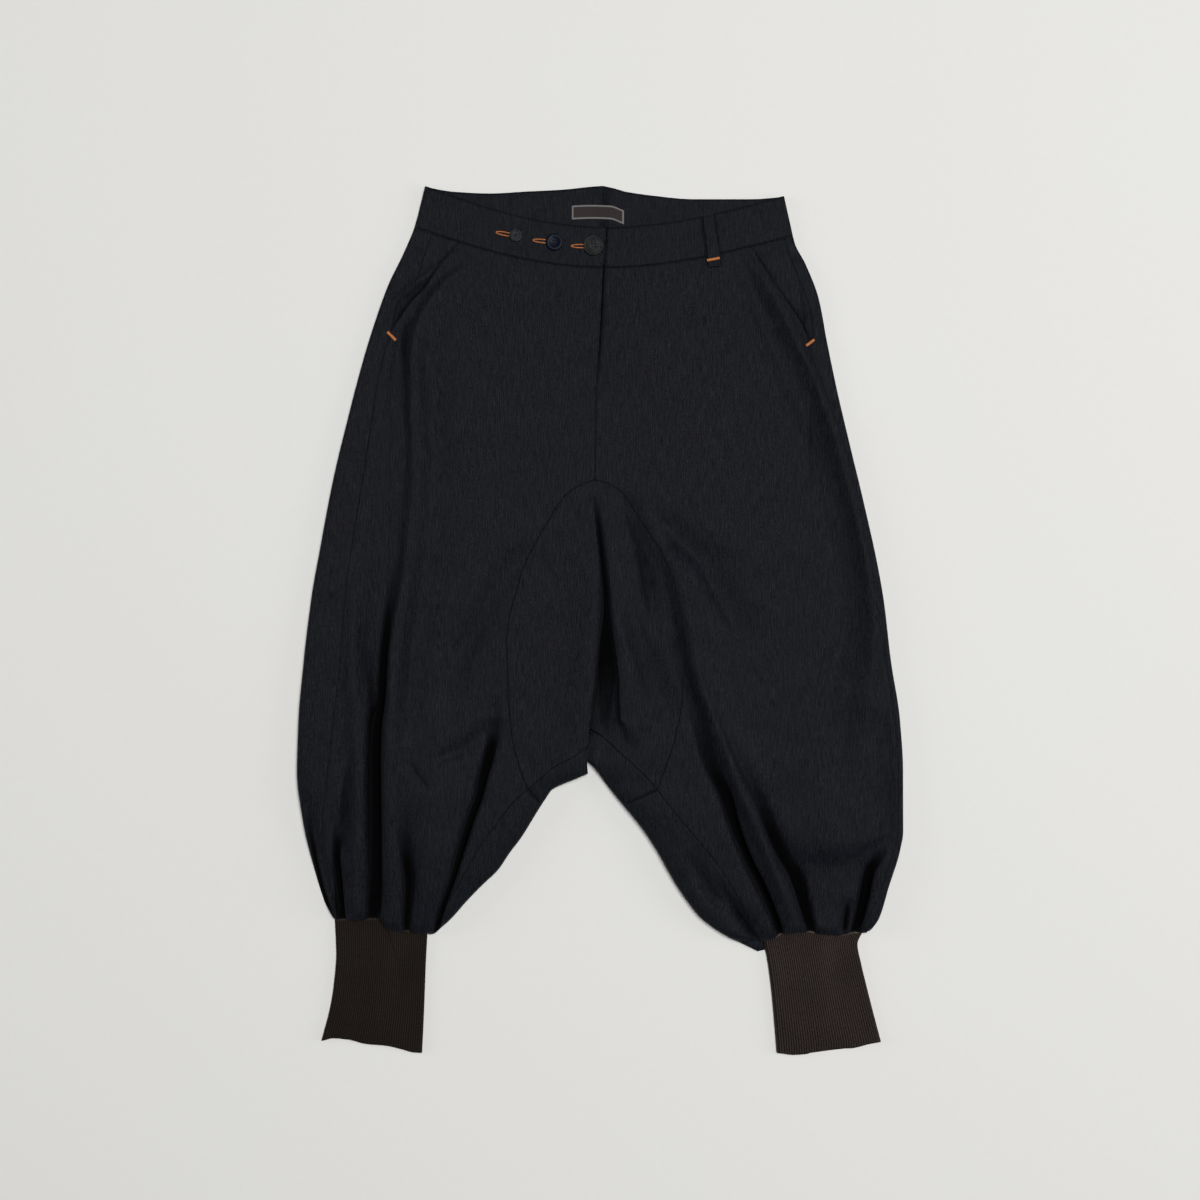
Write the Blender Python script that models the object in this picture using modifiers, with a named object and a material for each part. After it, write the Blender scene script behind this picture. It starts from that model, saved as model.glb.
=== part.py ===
"""Harem pants, laid flat with the front up: low gathered seat, arched gusset, ribbed ankle cuffs.

Frame: the garment rests on z = 0, +Y runs to the waist, +X to the right of the laid-out front.
Every table is in millimetres. "Left" and "right" are those of the front as it lies.
"""
import math

import bmesh
import bpy
import numpy as np

MM = 0.001

CLOTH = 1.2                # wall of the trouser cloth
BAND = 1.6                 # waistband, two layers of cloth
KNIT = 1.5                 # wall of the rib knit cuffs, without the ribs
SEAM = 0.3                 # room between two pieces at a seam
LEAST_HEIGHT = 4.0         # front cloth lying straight on the back cloth
BAND_HEIGHT = 6.2          # top of the waistband above the surface
UNDERLAP_HEIGHT = 4.2      # button extension, tucked below the left band
CUFF_HEIGHT = 5.0
RIBS = 38                  # ribs across one laid-out cuff
RIB_RELIEF = 0.45
EDGE_ROLL = 5.0            # largest radius of a turned side edge

FRONT_COLUMNS = 12
STRIP_COLUMNS = 2
BASE_COLUMNS = 5
ROLL_ANGLES = (50.0, 0.0, -50.0)

# Lines of the laid-out garment, as rows of (y, x).
LINES = {
    "outline left": (
        (454.5, -184), (436, -188.5), (411.5, -195), (383, -207), (352, -222), (315, -235.5), (273, -248.5),
        (210, -265), (147, -280), (84, -292), (21, -303), (-42, -310.5), (-105, -316), (-157.5, -317.5),
        (-210, -311.5), (-260.5, -300), (-294, -289.5), (-313, -279)),
    "outline right": (
        (444, 192.5), (415, 199), (394, 204), (373, 215), (336, 229), (294, 237), (252, 245.5), (210, 255),
        (168, 265), (126, 275), (63, 289), (21, 296.5), (-42, 304), (-105, 313.5), (-157.5, 316.5),
        (-220.5, 316.5), (-241.5, 313), (-277, 302), (-311, 291.5), (-325.5, 282)),
    "centre front": (
        (454.5, 6), (411.5, 6), (369.5, 3), (316, 0.5), (255, -3.5), (239.5, -4.5), (147.5, -6), (138.5, -7),
        (97.5, -4.5), (55.5, -0.5), (21, 2), (-18, -2), (-63, -6), (-102, -10.5), (-131, -13)),
    "centre back": (
        (454.5, 2.5), (411.5, 1.5), (336, -1.5), (239.5, -4.5), (147, -6), (21, -8), (-96.5, -11),
        (-131, -12.2), (-157.5, -13)),
    "arch left": (
        (146, -9), (142, -18.5), (135.5, -31), (122, -43.5), (103, -55), (81, -67.5), (58, -79.5), (29.5, -88.5),
        (3, -95), (-21, -98), (-52.5, -97), (-81, -96), (-116.5, -93), (-147, -86.5), (-176.5, -76)),
    "arch right": (
        (146, -2.5), (142, 9), (135.5, 20.5), (117.5, 33), (103, 42.5), (81, 57), (58, 69), (31.5, 78),
        (0, 84.5), (-31.5, 87.5), (-68, 86.5), (-100, 83.5), (-124, 78), (-150, 70), (-176.5, 59.5)),
    "side seam left": (
        (411.5, -176), (403, -177.5), (380, -185.5), (357, -193), (340, -207.5), (323.5, -214.5), (301.5, -220),
        (258.5, -231.5), (198.5, -241), (147, -248.5), (105, -255.5), (55.5, -263), (5, -268.5),
        (-49.5, -272.5), (-116.5, -280), (-164, -285), (-218.5, -289.5), (-242.5, -289.5), (-281.5, -281),
        (-314, -266)),
    "side seam right": (
        (403, 191.5), (377, 199.5), (353, 209.5), (332, 217.5), (315, 221.5), (298, 222), (287.5, 219),
        (258.5, 228.5), (227, 240), (191, 252.5), (153.5, 264), (97.5, 275.5), (52.5, 285), (21, 290.5),
        (-42, 298), (-105, 307), (-157.5, 310.5), (-220.5, 310), (-241.5, 305.5), (-277, 294), (-325.5, 271)),
    "pocket left": (
        (399, -145.5), (381, -161), (357, -177.5), (346.5, -185.5), (331, -200), (315, -211), (301.5, -220)),
    "pocket right": (
        (390.5, 158), (363.5, 175), (343.5, 188.5), (323.5, 202), (308.5, 211.5), (287.5, 219)),
    "inseam left": (
        (-131, -13), (-143, -30), (-154.5, -51), (-166, -63.5), (-176.5, -76), (-190, -91), (-211, -107.5),
        (-231, -122.5), (-259.5, -139), (-280.5, -150.5), (-299, -162), (-315, -173), (-326.5, -181)),
    "inseam right": (
        (-112.5, -11), (-122, 2.5), (-137.5, 19.5), (-156.5, 40.5), (-176.5, 59.5), (-192, 74), (-216.5, 97),
        (-237.5, 114), (-261.5, 130.5), (-284.5, 145.5), (-311, 159), (-334, 167.5)),
    "edge left": (
        (-160.5, -13), (-167, -28), (-173, -42.5), (-177.5, -51), (-182.5, -54.5), (-193, -61.5), (-210, -72),
        (-227, -82.5), (-243.5, -95), (-260.5, -106.5), (-277, -123.5), (-294, -140), (-311, -155),
        (-328.5, -173.5)),
    "edge right": (
        (-147, -10.5), (-159.5, -2.5), (-176.5, 10), (-193, 23.5), (-210, 37.5), (-227, 50), (-243.5, 60.5),
        (-260.5, 70), (-277, 79.5), (-294, 91), (-311, 104.5), (-327.5, 126.5), (-347.5, 165.5)),
    "pleat far side": (
        (126, -0.5), (63, 3.5), (21, 7), (-9.5, 12), (-55.5, 18.5), (-102, 20.5), (-114.5, 28)),
}

# Lines read across the garment, as rows of (x, y).
BACK_TOP_EDGE = (
    (-184, 454.5), (-156, 449.5), (-115, 447.5), (-79.5, 449.5), (-39.5, 451.5), (-11, 454.5), (2.5, 455.5),
    (25.5, 449.5), (57, 445), (97, 441.5), (159, 441.5), (192.5, 444))
HEM = {
    "left": (
        (-279, -313), (-246, -312), (-231, -312.5), (-221, -322), (-205.5, -324), (-193.5, -326),
        (-181, -326.5)),
    "right": (
        (167.5, -334), (183, -331), (192.5, -326), (213.5, -325), (230.5, -327), (252.5, -328.5),
        (264, -326.5), (282, -325.5)),
}
CUFF_SIDES = {
    "left": (
        ((-313, -278.5), (-349.5, -277), (-385.5, -280), (-404, -283), (-441, -292.5)),
        ((-329, -181.5), (-357, -183), (-383, -184), (-409.5, -185), (-452.5, -187))),
    "right": (
        ((-335, 170.5), (-356, 175), (-389.5, 179.5), (-453.5, 185)),
        ((-325.5, 275.5), (-340, 269.5), (-359, 273), (-380, 278), (-404, 284), (-442, 294))),
}
CUFF_END = {
    "left": (
        (-292.5, -441), (-280, -438.5), (-265, -439.5), (-246, -444), (-224, -446), (-208.5, -449.5),
        (-196, -453), (-187, -453.5)),
    "right": (
        (184.5, -453.5), (202, -455.5), (217, -454.5), (240, -451.5), (264, -448.5), (283, -444), (294, -442)),
}

# Sections across the body, waist to crotch: the y of the left edge, right edge, centre front, centre back.
BODY_SECTIONS = (
    (454.5, 444, 411.5, 454.5), (432.5, 424, 390.5, 432.5), (411.5, 403, 369.5, 410.5), (384.5, 378, 352, 384.5),
    (353, 347.5, 331, 353), (323.5, 320, 310, 322.5), (301.5, 287.5, 289, 295), (262.5, 262.5, 262.5, 262.5),
    (220.5, 220.5, 220.5, 220.5), (178.5, 178.5, 178.5, 178.5), (147.5, 147.5, 147.5, 147.5),
    (146, 146, 146, 146), (142, 142, 142, 142), (135.5, 135.5, 135.5, 135.5), (124, 124, 124, 124),
    (105, 105, 105, 105), (79, 79, 79, 79), (47, 47, 47, 47), (10.5, 10.5, 10.5, 10.5), (-26, -26, -26, -26),
    (-63, -63, -63, -63), (-96.5, -96.5, -96.5, -96.5), (-112.5, -112.5, -112.5, -112.5))
BAND_ROW = 2               # section at the seam under the waistband
TACK_ROW = 6               # section where the pocket mouths end
ARCH_ROW = 11              # section at the top of the gusset

# Sections of the legs, crotch to cuff: the y of the outer edge, the inseam and the inner edge.
LEG_SECTIONS = {
    "left": (
        (-131, -131, None), (-132.5, -132.5, -160.5), (-142, -143, -167), (-152, -154.5, -173),
        (-163, -166, -182.5), (-174.5, -176.5, -193), (-187, -190, -207), (-206, -211, -226),
        (-224.5, -231, -241.5), (-250, -259.5, -266.5), (-270, -280.5, -287.5), (-286.5, -299, -304.5),
        (-300.5, -315, -319), (-313, -326.5, -328.5)),
    "right": (
        (-114, -114, -147), (-124, -126, -155.5), (-138.5, -142, -167), (-155.5, -159.5, -180.5),
        (-172, -176.5, -193), (-187, -192, -212), (-208, -216.5, -235), (-229, -237.5, -257),
        (-252, -261.5, -281.5), (-276, -284.5, -305.5), (-297, -308.5, -326.5), (-313, -323.5, -338),
        (-325.5, -334, -347.5)),
}
CROSS_ROW = {"left": 5, "right": 4}    # leg section at the seam between back leg and back gusset

# Height of the front cloth before its folds, as rows of (y, height).
LOFT = (
    (455, BAND_HEIGHT), (405, BAND_HEIGHT), (336, 6.5), (231, 7.5), (147, 8), (21, 9), (-84, 10.5), (-189, 13),
    (-262, 14), (-299, 12.5), (-318, 9), (-334, 6.2), (-350, 5.6))

# Folds that run down the cloth: name, shape, width to the left, width to the right, rows of (x, y, height).
# A "round" fold is a soft roll or dip, a "sharp" one a pinched valley between two rolls.
FOLDS = (
    ("left pocket fold", "round", 13, 14, (
        (-160, 377, 0), (-184.5, 334, 2.5), (-197, 289, 3), (-196, 231, 3), (-193.5, 163, 3), (-202, 62, 4),
        (-217, -32.5, 5), (-226.5, -135.5, 5), (-227.5, -262.5, 5), (-226.5, -310, 2))),
    ("left pocket dip", "round", 9, 16, (
        (-178, 336, 0), (-183, 289, -1.5), (-181, 231, -2.5), (-177, 178.5, -2), (-168.5, 105, 0))),
    ("left outer valley", "sharp", 7, 6, (
        (-206.5, 105, 0), (-208.5, 62, -2), (-218, 5, -3), (-224, -40, -4), (-233.5, -92.5, -6),
        (-237, -152, -8), (-237, -242.5, -10), (-238, -301.5, -10), (-238, -313, -4))),
    ("left side valley", "sharp", 6, 7, (
        (-239, 126, 0), (-241, 62, -2), (-247.5, 3, -3), (-248.5, -45, -3.5), (-246, -104, -4),
        (-241, -175.5, -5), (-239, -220.5, -3), (-238, -252, 0))),
    ("left outer gather", "sharp", 5, 6, (
        (-275.5, -189, 0), (-275.5, -241.5, -3), (-272.5, -273, -6), (-270.5, -299, -8), (-269.5, -313, -4))),
    ("left outer roll", "round", 8, 7, (
        (-261, -147, 0), (-256.5, -231, 2), (-254.5, -283.5, 2.5), (-254.5, -310, 1))),
    ("left edge fold", "sharp", 4, 5, (
        (-307, -178.5, 0), (-302, -220.5, -2), (-294.5, -262.5, -4), (-286, -299, -4), (-282, -312, -2))),
    ("left inner valley", "sharp", 6, 6, (
        (-105.5, -73.5, 0), (-111, -90.5, -1), (-126.5, -147, -5), (-138, -194, -7), (-146.5, -242.5, -9),
        (-156, -280.5, -9), (-168, -308.5, -7), (-174, -326, -3))),
    ("left middle gather", "sharp", 5, 6, (
        (-206.5, -178.5, 0), (-205.5, -220.5, -1.5), (-203, -252, -4), (-201, -289, -8), (-199, -322, -4))),
    ("left long dip", "round", 14, 14, (
        (-74, 84, 0), (-95, 47, -1.5), (-117, 12.5, -2.2), (-137, -21, -2.5), (-148.5, -56.5, -2),
        (-156, -94.5, 0))),
    ("left leg roll", "round", 30, 26, (
        (-168.5, -21, 0), (-172.5, -105, 2), (-179, -189, 3), (-185.5, -262.5, 3), (-189.5, -320, 0))),
    ("right inner valley", "sharp", 9, 5, (
        (52, 79, 0), (60.5, 58, -2), (74, 14.5, -4), (83.5, -21, -5), (91, -56.5, -6), (97, -92.5, -6),
        (112, -135.5, -7), (126.5, -171, -8), (140, -198.5, -9), (157, -247, -10), (168.5, -284.5, -10),
        (179, -306.5, -9), (186, -326, -4))),
    ("right leg roll", "round", 7, 12, (
        (74, 58, 0), (83.5, 24, 3), (97, -56.5, 4), (106.5, -81, 4), (130.5, -135.5, 4), (159, -182.5, 4.5),
        (167.5, -220.5, 4.5), (181, -254, 4.5), (200, -294, 4), (209.5, -322, 1))),
    ("right second valley", "sharp", 5, 11, (
        (83.5, 42, 0), (102.5, -32.5, -2.5), (121.5, -81, -3), (145.5, -128, -4), (168.5, -175.5, -5),
        (192.5, -226, -8), (204, -265.5, -10), (209.5, -290, -10), (217, -318, -7), (218, -325.5, -4))),
    ("right arch dip", "round", 9, 12, (
        (52, 126, 0), (83.5, 79, -2), (104.5, 45, -3), (125.5, 16, -3), (144.5, -18, -2), (151.5, -42, 0))),
    ("right gusset dip", "round", 8, 9, (
        (22.5, 126, 0), (33, 89, -1.5), (41.5, 63, -2.5), (50, 21, -3), (57, -31.5, -2.5), (66.5, -100, -1.5),
        (71, -126, 0))),
    ("right side valley", "round", 9, 7, (
        (151.5, 376, 0), (172.5, 336, -2.5), (187.5, 296, -3), (202, 270, -3), (217, 230, -3),
        (230.5, 187, -3), (252.5, 114.5, -3), (262, 79, -3), (269.5, 33.5, -3), (272.5, -9.5, -3),
        (266, -56.5, -2.5), (252.5, -104, -1.5), (245, -147, 0))),
    ("right side roll", "round", 8, 8, (
        (172.5, 362, 0), (193.5, 320, 1.5), (204, 289, 2), (218, 257, 2), (243, 187, 2), (264, 114.5, 2),
        (279, 52.5, 2), (285, -9.5, 2), (281, -73.5, 1), (272.5, -126, 0))),
    ("right outer gather", "sharp", 6, 5, (
        (307, -231, 0), (304, -241.5, -3), (292.5, -252, -6), (282, -264.5, -8), (274.5, -289, -10),
        (268.5, -319, -7), (267, -326.5, -4))),
    ("right small gather", "sharp", 4, 4, (
        (258, -289, 0), (256.5, -304.5, -4), (254.5, -320, -5), (254.5, -328, -2))),
    ("right inseam gather", "sharp", 6, 4, (
        (127.5, -273, 0), (138, -291, -4), (151.5, -310, -6), (164.5, -328.5, -4), (167.5, -336, -2))),
    ("right leg swell", "round", 22, 22, (
        (225, -84, 0), (232.5, -168, 2), (237, -241.5, 3), (239, -283.5, 3), (239, -318, 0))),
    ("pleat edge", "round", 27, 1.6, (
        (-7, 138.5, 0), (-6, 115.5, 1.5), (-4.5, 97.5, 2.5), (-0.5, 55.5, 4), (2, 21, 5), (-2, -18, 6),
        (-6, -63, 6), (-10.5, -102, 6), (-13, -131, 6))),
    ("pleat far roll", "round", 2.5, 26, (
        (-0.5, 126, 0), (3.5, 63, 1.5), (7, 21, 3.5), (12, -9.5, 5), (18.5, -55.5, 5.5), (20.5, -102, 5.5),
        (28, -114.5, 5), (29, -130, 3))),
    ("pleat floor", "round", 20, 20, (
        (-4.5, 126, 0), (1.5, 63, -2), (4.5, 21, -4), (6, -21, -4.5), (7, -73.5, -4.5), (3.5, -121, -4.5),
        (-0.5, -147, -3))),
)
# The same, but across the leg, with the widths above and below the fold.
CROSS_FOLDS = (
    ("right leg overhang", "round", 12, 6, (
        (178, -237.5, 0), (193.5, -247, -3), (209.5, -252, -4), (228.5, -254, -4.5), (264, -249, -3.5),
        (281, -239.5, -2.5), (298.5, -226, 0))),
)
# Lines along which one edge lies on the cloth beside it: line, side that is lower (-1 left, 1 right), reach,
# rows of (y, drop).
STEPS = (
    ("centre front", 1, 28, ((460, -2), (411.5, -2), (369.5, -1.8), (316, -1.7), (255, -1.6), (236, 0))),
    ("pocket left", -1, 16, ((399, 0), (381, -1.4), (346.5, -1.6), (301.5, 0))),
    ("pocket right", 1, 16, ((390.5, 0), (363.5, -1.4), (323.5, -1.6), (287.5, 0))),
)

# Buttons: name, x, y, radius, thickness.
BUTTONS = (
    ("button_small", -88.7, 402.2, 6.6, 3.0),
    ("button_middle", -48.2, 395.2, 9.0, 3.4),
    ("button_large", -7.4, 391.7, 10.2, 3.8),
)
# Belt loop on the right front, as rows of (x, y) down its middle line.
BELT_LOOP = ((113.2, 421.5), (115.5, 400), (117.5, 385), (118.8, 369))
BELT_LOOP_WIDTH = 12.0
# Woven label inside the back band, as rows of (x, y of its top edge).
LABEL = ((-30.0, 434.5), (-10.0, 435.3), (10.0, 434.6), (24.5, 429.5))
LABEL_DEPTH = 14.5

COLOURS = {
    "cloth": ((0.012, 0.014, 0.019, 1.0), 0.85),
    "knit": ((0.022, 0.017, 0.016, 1.0), 0.9),
    "button": ((0.010, 0.012, 0.018, 1.0), 0.3),
    "label": ((0.02, 0.02, 0.02, 1.0), 0.7),
}


def smooth(at, rows):
    """Value at any place on a smooth curve through rows of (place, value), with no overshoot."""
    table = np.array(sorted((row[0], row[-1]) for row in rows), float)
    place, value = table[:, 0], table[:, 1]
    step = np.diff(place)
    rise = np.diff(value) / step
    slope = np.zeros_like(value)
    slope[0], slope[-1] = rise[0], rise[-1]
    same = rise[:-1] * rise[1:] > 0
    before, after = rise[:-1][same], rise[1:][same]
    slope[1:-1][same] = 2 * before * after / (before + after)
    at = np.clip(np.asarray(at, float), place[0], place[-1])
    i = np.clip(np.searchsorted(place, at) - 1, 0, len(step) - 1)
    t = (at - place[i]) / step[i]
    return ((2 * t**3 - 3 * t**2 + 1) * value[i] + (t**3 - 2 * t**2 + t) * step[i] * slope[i]
            + (3 * t**2 - 2 * t**3) * value[i + 1] + (t**3 - t**2) * step[i] * slope[i + 1])


def line(name, y):
    """The x of a named line of the garment at a given y."""
    return smooth(y, LINES[name])


def fold_height(fold, along, across):
    """What one fold adds to the cloth's height."""
    name, shape, near, far, rows = fold
    path = tuple((row[1], row[0]) for row in rows)
    middle = smooth(along, path)
    slant = (smooth(along + 1, path) - middle)
    offset = (across - middle) / np.sqrt(1 + slant**2)
    reach = np.where(offset < 0, near, far)
    if shape == "round":
        profile = np.exp(-(offset / reach) ** 2)
    else:
        profile = np.exp(0.3 - np.sqrt((offset / reach) ** 2 + 0.09))
    return smooth(along, tuple((row[1], row[2]) for row in rows)) * profile


def soft_height(x, y):
    """Top of the front cloth, with its folds but without the lapped edges."""
    x, y = np.asarray(x, float), np.asarray(y, float)
    height = smooth(y, LOFT)
    for fold in FOLDS:
        height = height + fold_height(fold, y, x)
    for name, shape, below, above, rows in CROSS_FOLDS:
        turned = tuple((row[1], row[0], row[2]) for row in rows)
        height = height + fold_height((name, shape, above, below, turned), x, y)
    spare = height - LEAST_HEIGHT
    return LEAST_HEIGHT + 0.5 * (spare + np.sqrt(spare**2 + 1.2))


def step_height(x, y):
    """How far the cloth lies lower beside each lapped edge."""
    drop = np.zeros(np.broadcast(x, y).shape)
    for name, side, reach, rows in STEPS:
        offset = (x - line(name, y)) * side
        drop = drop + np.where(offset > 0, smooth(y, rows) * np.exp(-(offset / reach) ** 2), 0)
    return drop


def hem_swing(side, share):
    """How far the hem runs above or below a straight line from side edge to inseam."""
    ends = HEM[side] if side == "left" else HEM[side][::-1]
    (outer_x, outer_y), (inner_x, inner_y) = ends[0], ends[-1]
    share = np.clip(share, 0, 1)
    return smooth(outer_x + (inner_x - outer_x) * share, HEM[side]) - outer_y - (inner_y - outer_y) * share


class Section:
    """One section across half of the garment: outer edge, centre or inseam, and on a leg the inner edge."""

    def __init__(self, side, index):
        self.side, self.index = side, index
        self.sign = -1 if side == "left" else 1
        body = len(BODY_SECTIONS)
        legs = LEG_SECTIONS[side]
        self.leg = index - body
        if index < body:
            left_y, right_y, centre_y, back_y = BODY_SECTIONS[index]
            outer_y = left_y if side == "left" else right_y
            edge_y = None
        else:
            outer_y, centre_y, edge_y = legs[self.leg]
            back_y = centre_y
        self.bowed = index < body
        self.on_leg = edge_y is not None
        self.outer = np.array((float(line("outline " + side, outer_y)), outer_y))
        inner_line = "inseam " + side if self.on_leg else "centre front"
        self.inner = np.array((float(line(inner_line, centre_y)), centre_y))
        if self.on_leg:
            self.edge = np.array((float(line("edge " + side, edge_y)), edge_y))
            self.back = self.edge
        else:
            self.edge = None
            self.back = np.array((float(line("centre back", back_y)), back_y))
        last = len(legs) - 1
        self.hem_share = {last: 1.0, last - 1: 0.5}.get(self.leg, 0.0)
        self.width = float(np.linalg.norm(self.inner - self.outer))
        self.strip = float(np.linalg.norm(self.inner - self.edge)) if self.on_leg else 0.0
        self.roll = self.edge_radius(self.outer, self.inner, 8.0, self.side_distance())
        if self.on_leg:
            self.inner_roll = self.edge_radius(self.edge, self.inner, 4.0, self.strip)

    def edge_radius(self, edge, inward, depth, room):
        inside = edge + (inward - edge) / np.linalg.norm(inward - edge) * min(depth, 0.7 * room)
        height = float(soft_height(inside[0], inside[1]))
        return min(0.5 * height, EDGE_ROLL, 0.7 * room)

    def side_distance(self):
        if self.index < BAND_ROW:
            return 20.0
        return self.width * self.crossing("side seam " + self.side)

    def front(self, share):
        """Plan of the front: share 0 at the outer edge, 1 at the centre or inseam, 2 at the inner edge."""
        share = np.asarray(share, float)
        ease = np.sin(0.5 * np.pi * np.clip(share, 0, 1)) if self.bowed else share
        x = self.outer[0] + (self.inner[0] - self.outer[0]) * share
        y = self.outer[1] + (self.inner[1] - self.outer[1]) * ease
        if self.on_leg:
            y = y + self.hem_share * hem_swing(self.side, share)
            beyond = share > 1
            x = np.where(beyond, self.inner[0] + (self.edge[0] - self.inner[0]) * (share - 1), x)
            y = np.where(beyond, self.inner[1] + (self.edge[1] - self.inner[1]) * (share - 1), y)
        return x, y

    def under(self, share):
        """Plan of the underside: share as on the front, or 1 at the centre back."""
        share = np.asarray(share, float)
        if not self.on_leg:
            x = self.outer[0] + (self.back[0] - self.outer[0]) * share
            y = self.outer[1] + (self.back[1] - self.outer[1]) * share
            if self.index < BAND_ROW:
                y = y + (1 - 0.5 * self.index) * (smooth(x, BACK_TOP_EDGE) - y)
            return x, y
        bend = self.width / (self.width + self.strip)
        part = np.where(share < 1, share * bend, bend + (share - 1) * (1 - bend))
        return (self.outer[0] + (self.edge[0] - self.outer[0]) * part,
                self.outer[1] + (self.edge[1] - self.outer[1]) * part)

    def crossing(self, name, plan=None):
        """Share at which a named line crosses this section."""
        plan = plan or self.front
        y = self.outer[1]
        share = 0.5
        for _ in range(30):
            x = float(line(name, y))
            start, end = plan(0.0)[0], plan(1.0)[0]
            share = (x - start) / (end - start)
            y = float(plan(share)[1])
        return float(share)


def top_points(section, shares):
    """Points and outward directions on the upper side of a section."""
    x, y = section.front(shares)
    z = soft_height(x, y) + step_height(x, y)
    return np.stack((x, y, z), -1), top_directions(x, y)


def top_directions(x, y):
    reach = 0.4
    slope_x = (soft_height(x + reach, y) - soft_height(x - reach, y)) / (2 * reach)
    slope_y = (soft_height(x, y + reach) - soft_height(x, y - reach)) / (2 * reach)
    direction = np.stack((-slope_x, -slope_y, np.ones_like(slope_x)), -1)
    return direction / np.linalg.norm(direction, axis=-1, keepdims=True)


def under_points(section, shares):
    """Points and outward directions on the flat underside of a section."""
    x, y = section.under(shares)
    flat = np.zeros_like(x)
    return np.stack((x, y, flat), -1), np.stack((flat, flat, flat - 1), -1)


def roll_points(section, angles, inner=False):
    """Points round a side edge, from the upper side (90 degrees) to the underside (-90)."""
    if inner:
        radius, length, edge_share, way = section.inner_roll, section.strip, 2.0, -1
        outward = section.edge - section.inner
    else:
        radius, length, edge_share, way = section.roll, section.width, 0.0, 1
        outward = section.outer - section.inner
    outward = outward / np.linalg.norm(outward)
    top_x, top_y = section.front(edge_share + way * radius / length)
    half = 0.5 * float(soft_height(top_x, top_y) + step_height(top_x, top_y))
    points, directions = [], []
    for angle in np.radians(angles):
        share = edge_share + way * radius * (1 - math.cos(angle)) / length
        x, y = section.front(share) if angle >= 0 else section.under(share)
        points.append((float(x), float(y), half + half * math.sin(angle)))
        flat = math.cos(angle) / radius
        direction = np.array((outward[0] * flat, outward[1] * flat, math.sin(angle) / half))
        directions.append(direction / np.linalg.norm(direction))
    return np.array(points), np.array(directions)


def joined(*parts):
    """Runs of points along one section, joined end to end."""
    return np.concatenate([part[0] for part in parts]), np.concatenate([part[1] for part in parts])


def stacked(rows):
    """Sections' runs of points, stacked into a patch."""
    return [np.stack([row[0] for row in rows]), np.stack([row[1] for row in rows])]


def pull_in(patch, first_column=0.0, last_column=0.0, first_row=0.0, last_row=0.0):
    """Draw a patch back from its seams by half of the seam's room."""
    points = patch[0]
    edges = (
        (first_column, np.s_[:, 0], np.s_[:, 1]), (last_column, np.s_[:, -1], np.s_[:, -2]),
        (first_row, np.s_[0], np.s_[1]), (last_row, np.s_[-1], np.s_[-2]))
    for amount, end, neighbour in edges:
        if amount:
            way = points[neighbour] - points[end]
            points[end] += way / np.linalg.norm(way, axis=-1, keepdims=True) * amount
    return patch


def wall(name, patches, thickness, material, inner=None):
    """A closed cloth wall under its outer surface, whose patches share their common points."""
    mesh = bmesh.new()
    corners = {}
    quads = []
    for number, (points, directions) in enumerate(patches):
        inside = points - directions * thickness if inner is None else inner[number]
        keys = []
        for r in range(points.shape[0]):
            keys.append([])
            for c in range(points.shape[1]):
                key = tuple(np.round(points[r, c], 3))
                if key not in corners:
                    pair = (mesh.verts.new(points[r, c] * MM), mesh.verts.new(inside[r, c] * MM))
                    corners[key] = pair
                keys[-1].append(key)
        for r in range(points.shape[0] - 1):
            for c in range(points.shape[1] - 1):
                quad = (keys[r][c], keys[r][c + 1], keys[r + 1][c + 1], keys[r + 1][c])
                quads.append(tuple(dict.fromkeys(quad)))
    sides = {}
    for quad in quads:
        if len(quad) < 3:
            continue
        mesh.faces.new([corners[key][0] for key in quad])
        mesh.faces.new([corners[key][1] for key in reversed(quad)])
        for start, end in zip(quad, quad[1:] + quad[:1]):
            sides[(start, end)] = sides.get((start, end), 0) + 1
    for start, end in sides:
        if (end, start) not in sides:
            outer_start, inner_start = corners[start]
            outer_end, inner_end = corners[end]
            mesh.faces.new((outer_end, outer_start, inner_start, inner_end))
    bmesh.ops.recalc_face_normals(mesh, faces=mesh.faces)
    bmesh.ops.triangulate(mesh, faces=mesh.faces, quad_method="SHORT_EDGE")
    return place(name, mesh, material)


def place(name, mesh, material):
    """Put a finished bmesh in the garment's collection as an object."""
    data = bpy.data.meshes.new(name)
    mesh.to_mesh(data)
    mesh.free()
    data.materials.append(material)
    data.shade_smooth()
    data.set_sharp_from_angle(angle=math.radians(40))
    thing = bpy.data.objects.new(name, data)
    GARMENT.objects.link(thing)
    return thing


def sections(side):
    count = len(BODY_SECTIONS) + len(LEG_SECTIONS[side])
    return [Section(side, index) for index in range(count)]


def cross_row(side):
    return len(BODY_SECTIONS) + CROSS_ROW[side]


def inner_share(section):
    """Where the front panel ends: at the centre, along the gusset's arch, or at the inseam."""
    if section.index < ARCH_ROW or section.index >= cross_row(section.side):
        return 1.0
    return section.crossing("arch " + section.side)


def outer_share(section):
    """Where the front panel ends: at the pocket mouth, then at the side seam."""
    if section.index < TACK_ROW:
        return section.crossing("pocket " + section.side)
    return section.crossing("side seam " + section.side)


def front_panel(side, rows):
    runs = [top_points(s, np.linspace(inner_share(s), outer_share(s), FRONT_COLUMNS + 1))
            for s in rows[BAND_ROW:]]
    half = SEAM / 2
    patch = pull_in(stacked(runs), half, half, half, half)
    return settle(patch)


def settle(patch):
    """Lay a patch's points on the cloth's height where they now are."""
    points = patch[0]
    points[..., 2] = soft_height(points[..., 0], points[..., 1]) + step_height(points[..., 0], points[..., 1])
    patch[1] = top_directions(points[..., 0], points[..., 1])
    return patch


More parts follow.
